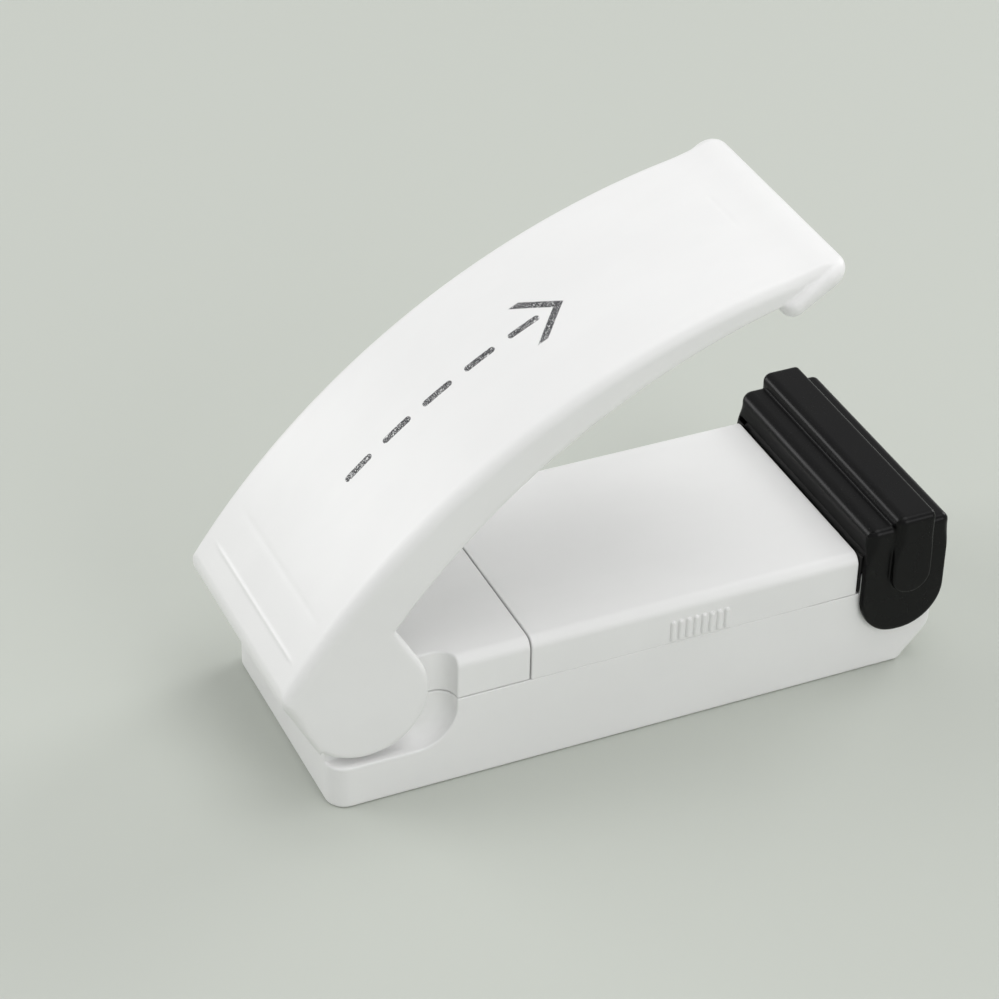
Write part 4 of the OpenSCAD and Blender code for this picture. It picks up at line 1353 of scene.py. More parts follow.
    def rear_field(self, x: Array, y: Array, z: Array) -> Array:
        """Describes the rear cover.

        Args:
            x: Forward coordinates.
            y: Sideways coordinates.
            z: Heights.

        Returns:
            Distances, negative inside.
        """
        w = np.abs(y)
        low = self.parting_z + self.parting_gap
        outer = meet(self.cover_field(w, z, low, self.line_r), -self.half_l - x, self.edge_r)
        outer = meet(outer, x - self.split_x + self.split_gap / 2, self.line_r)
        room = block(x, y, z, (self.wall - self.half_l, -self.rear_half, 0.0),
                     (self.cells_x + self.room_lap, self.rear_half, self.height - self.wall), self.room_r)
        bay = meet(w - self.inner, z - self.height + self.wall, self.room_r)
        body = carve(outer, np.minimum(room, np.maximum(bay, self.cells_x - x)), self.line_r)
        boss = np.maximum(disc(x, w, self.rear_screw, self.boss_r),
                          slab(z, self.cover_boss_z, self.height - self.wall / 2))
        body = carve(np.minimum(body, boss), self.recess(x, w, z), self.rim_r)
        pilot = np.maximum(disc(x, w, self.rear_screw, self.pilot_r), z - self.height + 2 * self.wall)
        body = np.maximum(body, -np.minimum(pilot, disc(x, z, self.pivot, self.hinge_r)))
        gap = block(x, y, z, (self.slot[0], -self.slot[2], self.pivot[1]),
                    (self.slot[1], self.slot[2], self.height + self.clear), self.slot_r)
        return carve(body, gap, self.slot_rim)

    def battery_field(self, x: Array, y: Array, z: Array) -> Array:
        """Describes the battery cover without its ribs.

        Args:
            x: Forward coordinates.
            y: Sideways coordinates.
            z: Heights.

        Returns:
            Distances, negative inside.
        """
        w = np.abs(y)
        near, far = self.fine_gap
        low = self.parting_z + near + (far - near) * smooth(x, *self.fine_x)
        outer = meet(self.cover_field(w, z, low, self.fine_r),
                     slab(x, self.split_x + self.split_gap / 2, self.cover_x), self.line_r)
        room = meet(w - self.inner, z - self.height + self.wall, self.room_r)
        return carve(outer, room, self.fine_r)

    def build(self, paint: Paintbox) -> None:
        """Builds and dresses the casing.

        Args:
            paint: Gives the materials.
        """
        lower = Skin(self.lower_field, (
            graded(-41.6, 41.6, 1.0, [
                (-40.6, 0.8, 0.2), (40.6, 0.7, 0.16), *self.RECESS_SPOTS, (-33.0, 8.0, 0.42),
                (self.web_x, 0.4, 0.12), (self.front_screw[0], 2.6, 0.4), (37.5, 1.6, 0.3)]),
            graded(-17.2, 17.2, 1.0, both([
                (self.half_w, 0.5, 0.1), (self.half_w - 1.3, 1.4, 0.2), (self.recess_y, 0.6, 0.16),
                (12.4, 0.3, 0.2)])),
            graded(-0.6, 15.6, 0.7, [
                (0.3, 0.5, 0.12), (self.parting_z, 0.3, 0.06), (self.seat_z, 0.25, 0.08), (6.5, 1.2, 0.2),
                (9.0, 2.6, 0.3)])))
        paint.place(lower.piece("base_lower_shell"), "base", Slot.WHITE, "lower_shell")
        rear = Skin(self.rear_field, (
            graded(-41.6, -14.6, 0.8, [
                (-40.0, 1.8, 0.2), (-15.36, 0.3, 0.07), *self.RECESS_SPOTS, (-33.0, 8.0, 0.4)]),
            graded(-17.2, 17.2, 0.9, both([
                (15.6, 1.4, 0.16), (14.1, 0.5, 0.16), (12.4, 0.3, 0.2), (self.slot[2], 0.4, 0.2)])),
            graded(10.0, 18.8, 0.5, [(12.5, 0.3, 0.07), (17.4, 1.2, 0.18)])))
        paint.place(rear.piece("base_rear_cover"), "base", Slot.WHITE, "rear_cover")
        battery = Skin(self.battery_field, (
            graded(-15.8, 29.9, 1.2, [(-15.14, 0.4, 0.07), (self.cover_x, 0.4, 0.07)]),
            graded(-17.2, 17.2, 1.2, both([(15.7, 1.1, 0.13)])),
            graded(12.0, 18.8, 0.5, [(12.45, 0.25, 0.05), (17.5, 1.0, 0.13)])))
        paint.place(battery.piece("battery_cover_shell"), "cover", Slot.WHITE, "battery_cover")
        self.ribs(paint)
        self.screws(paint)

    def rib_field(self, x: Array, y: Array, z: Array) -> Array:
        """Describes one round-ended rib, upright at the origin."""
        up = np.clip(z, 0.0, self.rib_h - 2 * self.rib_r)
        return np.sqrt(x * x + y * y + (z - up) ** 2) - self.rib_r

    def ribs(self, paint: Paintbox) -> None:
        """Lays the grip ribs along both sides of the battery cover with Geometry Nodes.

        Args:
            paint: Gives the material.
        """
        across = graded(-0.5, 0.5, 0.08)
        ends = [(0.0, 0.3, 0.07), (self.rib_h - 0.6, 0.3, 0.07)]
        one = Skin(self.rib_field, (across, across, graded(-0.5, self.rib_h, 0.5, ends))).piece("grip_ribs")
        low = self.parting_z + 2 * self.parting_gap + self.rib_r
        maker = Maker("grip ribs", {"Count": self.rib_n, "Pitch": self.rib_pitch * MM,
                                    "Middle": self.rib_x * MM, "Side": self.half_w * MM, "Low": low * MM})
        count, pitch = maker.size("Count"), maker.size("Pitch")
        first = maker.size("Middle") - (count - 1) * pitch / 2
        rows = []
        for side in (-1.0, 1.0):
            start = maker.vector(first, maker.size("Side") * side, maker.size("Low"))
            row = maker.node("GeometryNodeMeshLine", {"mode": "OFFSET"}, {
                "Count": count, "Start Location": start, "Offset": maker.vector(pitch)})
            rows.append(maker.copies(row.outputs[0]))
        piece = maker.made(maker.joined(rows), one, paint.material(FINISHES[Slot.WHITE]))
        paint.place(piece, "cover", Slot.WHITE)

    def screws(self, paint: Paintbox) -> None:
        """Sets the four case screws with Geometry Nodes.

        Args:
            paint: Gives the material.
        """
        one = CaseScrew().skin().piece("case_screws_set")
        maker = Maker("case screws", {"RearX": self.rear_screw[0] * MM, "RearY": self.rear_screw[1] * MM,
                                      "FrontX": self.front_screw[0] * MM, "FrontY": self.front_screw[1] * MM})
        placed = []
        for end in ("Rear", "Front"):
            for side in (-1.0, 1.0):
                spot = maker.vector(maker.size(end + "X"), maker.size(end + "Y") * side)
                point = maker.node("GeometryNodePoints", {}, {"Count": 1, "Position": spot})
                placed.append(maker.copies(point.outputs[0]))
        piece = maker.made(maker.joined(placed), one, paint.material(FINISHES[Slot.STEEL]))
        paint.place(piece, "base", Slot.STEEL, "case_screws")


@dataclass(frozen=True)
class MouldLine:
    """A faint moulding line across the lever's top, raised or sunk."""

    at: float
    height: float
    width: float
    side: Point
    fade: float

    def rise(self, s: Array, y: Array) -> Array:
        """Gives the height of the line.

        Args:
            s: Lengths along the arch from the tail.
            y: Sideways coordinates.

        Returns:
            Heights, negative where the line is sunk.
        """
        low, high = self.side
        reach = smooth(y, low, low + self.fade) * (1.0 - smooth(y, high - self.fade, high))
        return self.height * reach * np.exp(-((s - self.at) / self.width) ** 2)


@dataclass
class PressLever:
    """The arched white lever with its hinge ears, inner arm, jaw bar and pressure pad."""

    pivot: Point = (-36.2, 14.7)
    open_angle: float = 33.0
    arch_r: float = 98.0
    under_r: float = 89.4
    half: float = 16.105
    ear_t: float = 1.9
    ear_r: float = 8.07
    skin: float = 1.6
    edge_r: float = 1.5
    side_r: float = 0.35
    ear_soft: float = 0.45
    ear_zone: Point = (8.5, 12.0)
    heel_soft: float = 0.5
    heel_zone: Point = (2.0, 5.5)
    hollow_r: float = 0.7
    rim_r: float = 0.3
    tail: Point = (-9.95, 4.25)
    tail_r: float = 1.1
    tail_in: Point = (0.55, -1.5)
    tail_round: float = 1.3
    tail_wall: float = 5.6
    tail_web: Point = (1.2, 0.6)
    web_deep: float = 3.2
    under_a_at: Point = (3.66, 9.65)
    under_b_at: Point = (-2.25, 2.75)
    heater_z: float = 20.15
    jaw_x: Point = (30.2, 39.6)
    jaw_t: float = 2.1
    jaw_flare: float = 1.1
    jaw_tuck: float = 0.5
    jaw_ramp: Point = (-1.2, 1.6)
    jaw_corner: float = 2.8
    jaw_heel: float = 0.8
    jaw_edge: float = 0.9
    jaw_fillet: float = 0.3
    flush_top: Point = (-1.6, -0.4)
    flush_side: Point = (-0.8, 0.6)
    flush_k: Point = (0.05, 2.1)  # depth of the blend away from the top, and what the top adds
    tip_back: float = 1.7
    tip_z: float = 61.9
    tip_r: float = 0.5
    pin_hole: tuple[float, float, float] = (1.55, 1.0, 1.2)  # radius, reach in and reach out
    lap: float = 0.3
    rib_y: float = 8.0
    rib_half: float = 0.6
    rib_deep: Point = (1.8, 0.8)  # below the top's inner face, and where it starts in the top
    rib_run: Point = (22.8, 71.6)
    rib_edge: float = 0.2
    arm_r: Point = (7.2, 9.0)
    arm_half: float = 5.7
    arm_a: Point = (10.0, 74.0)
    arm_edge: float = 0.3
    web_a: Point = (74.0, 56.0)
    web_x: Point = (9.5, 2.5)
    web_t: float = 1.2
    pad_x: float = 35.65
    pad_w: float = 3.4
    pad_l: float = 30.0
    pad_t: float = 1.0
    pad_edge: float = 0.25
    fit: float = 0.05
    rod_in: float = 0.9
    rod_r: float = 1.5
    rod_edge: float = 0.3
    mould_lines: tuple[MouldLine, ...] = (
        MouldLine(3.0, 0.09, 0.28, (-12.9, 12.0), 0.8),
        MouldLine(8.6, -0.03, 0.5, (-12.9, 12.0), 0.8),
        MouldLine(77.4, -0.03, 0.35, (-2.6, 5.8), 1.4),
    )

    def __post_init__(self) -> None:
        """Works out the arcs of the side view."""
        px, pz = self.pivot
        self.ear_y = self.half - self.ear_t
        self.tail_top = (px + self.tail[0], pz + self.tail[1])
        self.tail_c = (self.tail_top[0] + self.tail_in[0], self.tail_top[1] + self.tail_in[1])
        self.tail_low = self.touch(self.tail_c, self.ear_r - self.tail_r, 1)
        self.tip_top = self.opened((self.jaw_x[1] - self.tip_back, self.heater_z + self.jaw_t))
        self.arch_c = self.arc_centre(self.tail_top, self.tip_top, self.arch_r)
        self.tail_bearing = math.atan2(self.tail_top[1] - self.arch_c[1], self.tail_top[0] - self.arch_c[0])
        self.tip_bearing = math.atan2(self.tip_top[1] - self.arch_c[1], self.tip_top[0] - self.arch_c[0])
        self.under_a = (px + self.under_a_at[0], pz + self.under_a_at[1])
        self.under_b = self.opened((self.jaw_x[0] + self.under_b_at[0], self.heater_z + self.under_b_at[1]))
        self.under_c = self.arc_centre(self.under_a, self.under_b, self.under_r)

    def turned(self, x: Any, z: Any, a: float) -> tuple[Any, Any]:
        """Turns places of the side view about the hinge.

        Args:
            x: Forward coordinates.
            z: Heights.
            a: Angle in radians, which lifts the lever where it is positive.

        Returns:
            Both coordinates after the turn.
        """
        dx, dz = x - self.pivot[0], z - self.pivot[1]
        return (self.pivot[0] + dx * math.cos(a) - dz * math.sin(a),
                self.pivot[1] + dx * math.sin(a) + dz * math.cos(a))

    def opened(self, p: Point) -> Point:
        """Turns a point of the closed lever to where it is at rest."""
        return self.turned(*p, math.radians(self.open_angle))

    def closed(self, x: Array, z: Array) -> tuple[Array, Array]:
        """Turns places of the lever at rest to where they are when it is closed."""
        return self.turned(x, z, -math.radians(self.open_angle))

    @staticmethod
    def arc_centre(a: Point, b: Point, r: float) -> Point:
        """Gives the centre of an arc that rises from a to b and bulges up and back.

        Args:
            a: Lower end.
            b: Upper end.
            r: Radius.

        Returns:
            The centre.
        """
        dx, dz = b[0] - a[0], b[1] - a[1]
        length = math.hypot(dx, dz)
        far = math.sqrt(r * r - length * length / 4)
        return ((a[0] + b[0]) / 2 + dz / length * far, (a[1] + b[1]) / 2 - dx / length * far)

    def touch(self, p: Point, r: float, side: int) -> Point:
        """Gives where the tangent from a point meets a circle about the hinge.

        Args:
            p: The point.
            r: Radius of the circle.
            side: Which of the two tangents, 1 or -1.

        Returns:
            The point of contact.
        """
        dx, dz = p[0] - self.pivot[0], p[1] - self.pivot[1]
        length = math.hypot(dx, dz)
        nearest = (self.pivot[0] + dx / length * r, self.pivot[1] + dz / length * r)
        return self.turned(*nearest, side * math.acos(r / length))

    def polar(self, r: float, degrees: float) -> Point:
        """Gives a point about the hinge, at a distance and a bearing."""
        return self.turned(self.pivot[0] + r, self.pivot[1], math.radians(degrees))

    def below_top(self, x: float, depth: float) -> Point:
        """Gives the point of the side view at x and a depth below the arched top."""
        deep = self.arch_r - depth
        return x, self.arch_c[1] + math.sqrt(deep ** 2 - (x - self.arch_c[0]) ** 2)

    def run(self, x: Array, z: Array) -> Array:
        """Gives the length along the arch from the tail."""
        return (self.tail_bearing - np.arctan2(z - self.arch_c[1], x - self.arch_c[0])) * self.arch_r

    def arch(self, s: Array, y: Array, d: Array) -> tuple[Array, Array, Array]:
        """Bends a grid of length from the tail, width and depth below the top into the arch."""
        a = self.tail_bearing - s / self.arch_r
        return (self.arch_c[0] + (self.arch_r - d) * np.cos(a), y,
                self.arch_c[1] + (self.arch_r - d) * np.sin(a))

    def side_view(self, x: Array, z: Array, top: Array) -> Array:
        """Gives the outline of the side walls and ears.

        Args:
            x: Forward coordinates.
            z: Heights.
            top: Distances to the arched top.

        Returns:
            Distances, negative inside.
        """
        tip_turn = (-math.sin(self.tip_bearing), math.cos(self.tip_bearing))
        tip = -(x - self.arch_c[0]) * tip_turn[0] - (z - self.arch_c[1]) * tip_turn[1]
        under = -disc(x, z, self.under_c, self.under_r)
        (px, pz), (tx, tz), (lx, lz) = self.pivot, self.tail_c, self.tail_low
        far = math.hypot(lx - px, lz - pz)
        ox, oz = (lx - px) / far, (lz - pz) / far
        rear = (x - px) * ox + (z - pz) * oz - self.ear_r
        walls = np.maximum(meet(top, rear, self.tail_round), np.maximum(under, tip))
        corners = [self.tail_c, (tx + ox * self.tail_r, tz + oz * self.tail_r),
                   (px + ox * self.ear_r, pz + oz * self.ear_r), self.pivot,
                   self.touch(self.under_a, self.ear_r, -1), self.under_a,
                   self.below_top(self.under_a[0], self.web_deep),
                   (tx + self.tail_web[0], tz + self.tail_web[1])]
        ear = np.minimum(disc(x, z, self.pivot, self.ear_r), polygon(x, z, corners))
        return np.minimum(walls, ear)

    def field(self, x: Array, y: Array, z: Array) -> Array:
        """Describes the whole lever.

        Args:
            x: Forward coordinates.
            y: Sideways coordinates.
            z: Heights.

        Returns:
            Distances, negative inside.
        """
        w = np.abs(y)
        top = disc(x, z, self.arch_c, self.arch_r)
        out = w - self.half
        ear = 1.0 - smooth(disc(x, z, self.pivot, 0.0), *self.ear_zone)
        heel = 1.0 - smooth(disc(x, z, self.tail_c, 0.0), *self.heel_zone)
        along = self.run(x, z)
        marked = top - sum(line.rise(along, y) for line in self.mould_lines)
        side_r = self.side_r + self.ear_soft * ear + self.heel_soft * heel
        body = np.maximum(meet(self.side_view(x, z, marked), out, side_r), meet(marked, out, self.edge_r))
        body = carve(body, meet(top + self.skin, w - self.ear_y, self.hollow_r), self.rim_r)
        body = np.minimum(body, self.inside(x, w, z, top))
        flush = smooth(top, *self.flush_top) * (1.0 - smooth(out, *self.flush_side))
        jaw = self.jaw(x, w, z)
        body = np.minimum(join(body, jaw, self.jaw_fillet),
                          melt(body, jaw, self.flush_k[0] + self.flush_k[1] * flush))
        body = meet(body, z - self.tip_z, self.tip_r)
        hole_r, inward, outward = self.pin_hole
        pin = np.maximum(disc(x, z, self.pivot, hole_r), slab(w, self.ear_y - inward, self.ear_y + outward))
        return np.maximum(body, -np.minimum(pin, self.pad_place(x, y, z, self.fit, self.pad_t, 0.0)))

    def inside(self, x: Array, w: Array, z: Array, top: Array) -> Array:
        """Gives the tail's closing wall, the stiffening ribs and the inner arm.

        Args:
            x: Forward coordinates.
            w: Distances from the middle plane.
            z: Heights.
            top: Distances to the arched top.

        Returns:
            Distances, negative inside.
        """
        far = math.hypot(self.tail_low[0] - self.tail_c[0], self.tail_low[1] - self.tail_c[1])
        end = tuple(c + (v - c) / far * self.tail_wall for c, v in zip(self.tail_c, self.tail_low))
        made = np.maximum(bar(x, z, self.tail_c, end, self.skin / 2), w - self.ear_y - self.lap)
        deep = slab(top, -self.skin - self.rib_deep[0], -self.rib_deep[1])
        rib = meet(np.abs(w - self.rib_y) - self.rib_half,
                   np.maximum(deep, slab(self.run(x, z), *self.rib_run)), self.rib_edge)
        way = disc(x, z, self.pivot, 0.0)
        bearing = np.degrees(np.arctan2(z - self.pivot[1], x - self.pivot[0]))
        sweep = np.radians(slab(bearing, *self.arm_a)) * np.maximum(way, 1.0)
        arm = meet(meet(slab(way, *self.arm_r), w - self.arm_half, self.arm_edge), sweep, self.arm_edge)
        corners = [self.polar(self.arm_r[0] + self.lap, self.web_a[0]),
                   self.polar(self.arm_r[1] - self.lap, self.web_a[1]),
                   *(self.below_top(self.pivot[0] + run, self.skin / 2) for run in self.web_x)]
        web = np.maximum(polygon(x, z, corners), slab(w, self.arm_half - self.web_t, self.arm_half))
        return np.minimum(np.minimum(made, rib), np.minimum(arm, web))

    def jaw(self, x: Array, w: Array, z: Array) -> Array:
        """Gives the flat jaw bar, which flares out at both sides.

        Args:
            x: Forward coordinates.
            w: Distances from the middle plane.
            z: Heights.

        Returns:
            Distances, negative inside.
        """
        xc, zc = self.closed(x, z)
        start, end = self.jaw_x
        ramp = smooth(xc, start + self.jaw_ramp[0], start + self.jaw_ramp[1])
        wide = self.half - self.jaw_tuck + (self.jaw_flare + self.jaw_tuck) * ramp
        plan = meet(meet(xc - end, w - wide, self.jaw_corner), start - xc, self.jaw_heel)
        return meet(plan, slab(zc, self.heater_z, self.heater_z + self.jaw_t), self.jaw_edge)

    def pad_place(self, x: Array, y: Array, z: Array, fit: float, drop: float, r: float) -> Array:
        """Gives a block round the pad's place in the jaw.

        Args:
            x: Forward coordinates.
            y: Sideways coordinates.
            z: Heights.
            fit: Gap left round the pad.
            drop: How far the block stands out of the jaw's face.
            r: Radius of the edges.

        Returns:
            Distances, negative inside.
        """
        xc, zc = self.closed(x, z)
        wide, long = self.pad_w / 2 + fit, self.pad_l / 2 + fit
        return block(xc, y, zc, (self.pad_x - wide, -long, self.heater_z - drop),
                     (self.pad_x + wide, long, self.heater_z + self.pad_t + fit), r)

    def pad_field(self, x: Array, y: Array, z: Array) -> Array:
        """Describes the pressure pad with its softly rounded face."""
        return self.pad_place(x, y, z, 0.0, 0.0, self.pad_edge)

    def build(self, paint: Paintbox) -> None:
        """Builds and dresses the lever.

        Args:
            paint: Gives the materials.
        """
        length = (self.tail_bearing - self.tip_bearing) * self.arch_r
        lever = Skin(self.field, (
            graded(-7.6, length + 5.0, 0.9, [
                (-0.6, 1.8, 0.18), (3.0, 0.5, 0.09), (8.6, 0.7, 0.16), (4.0, 9.5, 0.36), (77.4, 0.5, 0.12),
                (length - 2.6, 6.0, 0.22)]),
            graded(-17.9, 17.9, 1.0, both([
                (15.6, 1.1, 0.16), (14.2, 0.4, 0.2), (17.0, 0.4, 0.18), (self.rib_y, 0.8, 0.3),
                (5.4, 0.5, 0.3)])),
            graded(-1.9, 20.0, 0.5, [(0.4, 1.6, 0.16), (10.0, 1.8, 0.3)])), self.arch)
        white = FINISHES[Slot.WHITE]
        printed = PrintedPlastic(
            "white printed plastic", white.colour, white.roughness, white.grain, white.mottle,
            centre=self.arch_c, arch_r=self.arch_r, tail_bearing=self.tail_bearing)
        paint.place(lever.piece("arched_press_lever"), "lever", Slot.WHITE, "press_lever", finish=printed)
        x, z = self.opened((self.pad_x, self.heater_z))
        pad = Skin(self.pad_field, (
            graded(x - 3.2, x + 3.2, 0.2), graded(-15.6, 15.6, 0.8, both([(self.pad_l / 2, 0.4, 0.15)])),
            graded(z - 2.4, z + 2.8, 0.2)))
        paint.place(pad.piece("jaw_pressure_pad"), "lever", Slot.SILICONE, "pressure_pad")
        reach = self.half - self.rod_in
        start = (self.pivot[0], -reach, self.pivot[1])
        rod = Turned.rod(start, (0, 1, 0), 2 * reach, self.rod_r, self.rod_edge)
        paint.place(Turned.piece("hinge_rod", [rod]), "base", Slot.STEEL, "hinge_pin")


@dataclass
class SafetyCap:
    """The black cap over the sealing head, with its raised band and round ears."""

    pivot: Point = (35.65, 12.0)
    half_l: float = 5.75
    ear_drop: float = 0.35
    ear_back: float = 0.17
    ear_back_u: Point = (-3.0, 0.0)
    ear_back_z: Point = (16.2, 17.2)
    ear_y: float = 16.705
    out_y: float = 17.455
    band_y: float = 18.305
    band_half: float = 2.7
    band_fwd: float = 0.45
    ceiling_z: float = 20.866
    shoulder_z: float = 21.966
    band_z: float = 23.566
    lip_z: float = 18.7
    lip_r: float = 8.606
    lip_drop: float = 1.1
    edge_r: float = 0.95
    back_r: float = 1.7
    back_u: Point = (-3.2, -1.0)
    rim_r: float = 0.3
    soft_z: Point = (17.0, 20.6)
    rear_u: float = 1.2
    ridge_r: tuple[float, float, float] = (0.3, 0.25, 0.85)  # low down, and what height and the rear add
    groove_r: Point = (0.02, 0.2)  # in front, and what the rear adds
    room_r: float = 0.3
    room_rim: float = 0.12
    pin_hole: Point = (1.25, 0.5)  # radius and depth
    stub_y: float = 14.905
    stub: tuple[float, float, float] = (2.2, 1.2, 0.2)  # length, radius and edge

    @staticmethod
    def tab(u: Array, v: Array, r: Any) -> Array:
        """Gives an upright tab of half width r, with its lower end round about the origin."""
        return np.where(v < 0.0, np.hypot(u, v), np.abs(u)) - r

    def field(self, x: Array, y: Array, z: Array) -> Array:
        """Describes the cap.

        Args:
            x: Forward coordinates.
            y: Sideways coordinates.
            z: Heights.

        Returns:
            Distances, negative inside.
        """
        w = np.abs(y)
        u, v = x - self.pivot[0], z - self.pivot[1]
        high = smooth(z, *self.soft_z)
        behind = (1.0 - smooth(u, *self.ear_back_u)) * (1.0 - smooth(z, *self.ear_back_z))
        ear = self.tab(u, v + self.ear_drop, self.half_l + self.ear_back * behind)
        over = meet(w - self.out_y, z - self.shoulder_z, self.edge_r)
        back = self.edge_r + (self.back_r - self.edge_r) * (1.0 - smooth(u, *self.back_u))
        shell = meet(over, ear, self.rim_r + (back - self.rim_r) * high)
        along = u - self.band_fwd
        strap = self.tab(along, v - self.band_half, self.band_half)
        rear = 1.0 - smooth(along, -self.rear_u, self.rear_u)
        low_r, high_r, rear_r = self.ridge_r
        ridge = meet(meet(w - self.band_y, z - self.band_z, self.edge_r), strap,
                     low_r + high_r * high + rear_r * high * rear)
        body = join(shell, ridge, self.groove_r[0] + self.groove_r[1] * rear)
        return carve(body, self.room(u, w, v, z), self.room_rim)

    def room(self, u: Array, w: Array, v: Array, z: Array) -> Array:
        """Gives the room under the cap, open at the front so that it can swing clear.

        Args:
            u: Forward coordinates from the hinge.
            w: Distances from the middle plane.
            v: Heights above the hinge.
            z: Heights.

        Returns:
            Distances, negative inside.
        """
        lip_up = self.ceiling_z - self.lip_drop - self.pivot[1]
        lip_back = math.sqrt(self.lip_r ** 2 - lip_up ** 2)
        swing = np.hypot(u, v) - self.lip_r
        under = np.maximum(np.minimum(-lip_back - u, swing), z - self.ceiling_z)
        room = meet(np.minimum(under, z - self.lip_z), w - self.ear_y, self.room_r)
        pins = np.maximum(np.hypot(u, v) - self.pin_hole[0], w - self.ear_y - self.pin_hole[1])
        return np.minimum(room, pins)

    def build(self, paint: Paintbox) -> None:
        """Builds and dresses the cap.

        Args:
            paint: Gives the materials.
        """
        x, z = self.pivot
        skin = Skin(self.field, (
            graded(x - 6.4, x + 6.4, 0.3, [
                (x - 5.5, 0.6, 0.12), (x + 5.5, 0.6, 0.12), (x - 4.9, 1.2, 0.14), (x - 1.9, 1.2, 0.1),
                (x + 3.15, 0.6, 0.08)]),
            graded(-18.8, 18.8, 0.9, both([(17.7, 0.9, 0.12), (16.7, 0.3, 0.12)])),
            graded(z - 6.4, 24.0, 0.3, [(22.8, 1.0, 0.12), (21.0, 0.4, 0.14)])))
        paint.place(skin.piece("flip_off_cap"), "cap", Slot.BLACK, "safety_cap")
        stubs = [Turned.rod((x, side * self.stub_y, z), (0, side, 0), *self.stub) for side in (-1, 1)]
        paint.place(Turned.piece("cap_stub_pins", stubs), "base", Slot.STEEL, "cap_pins")


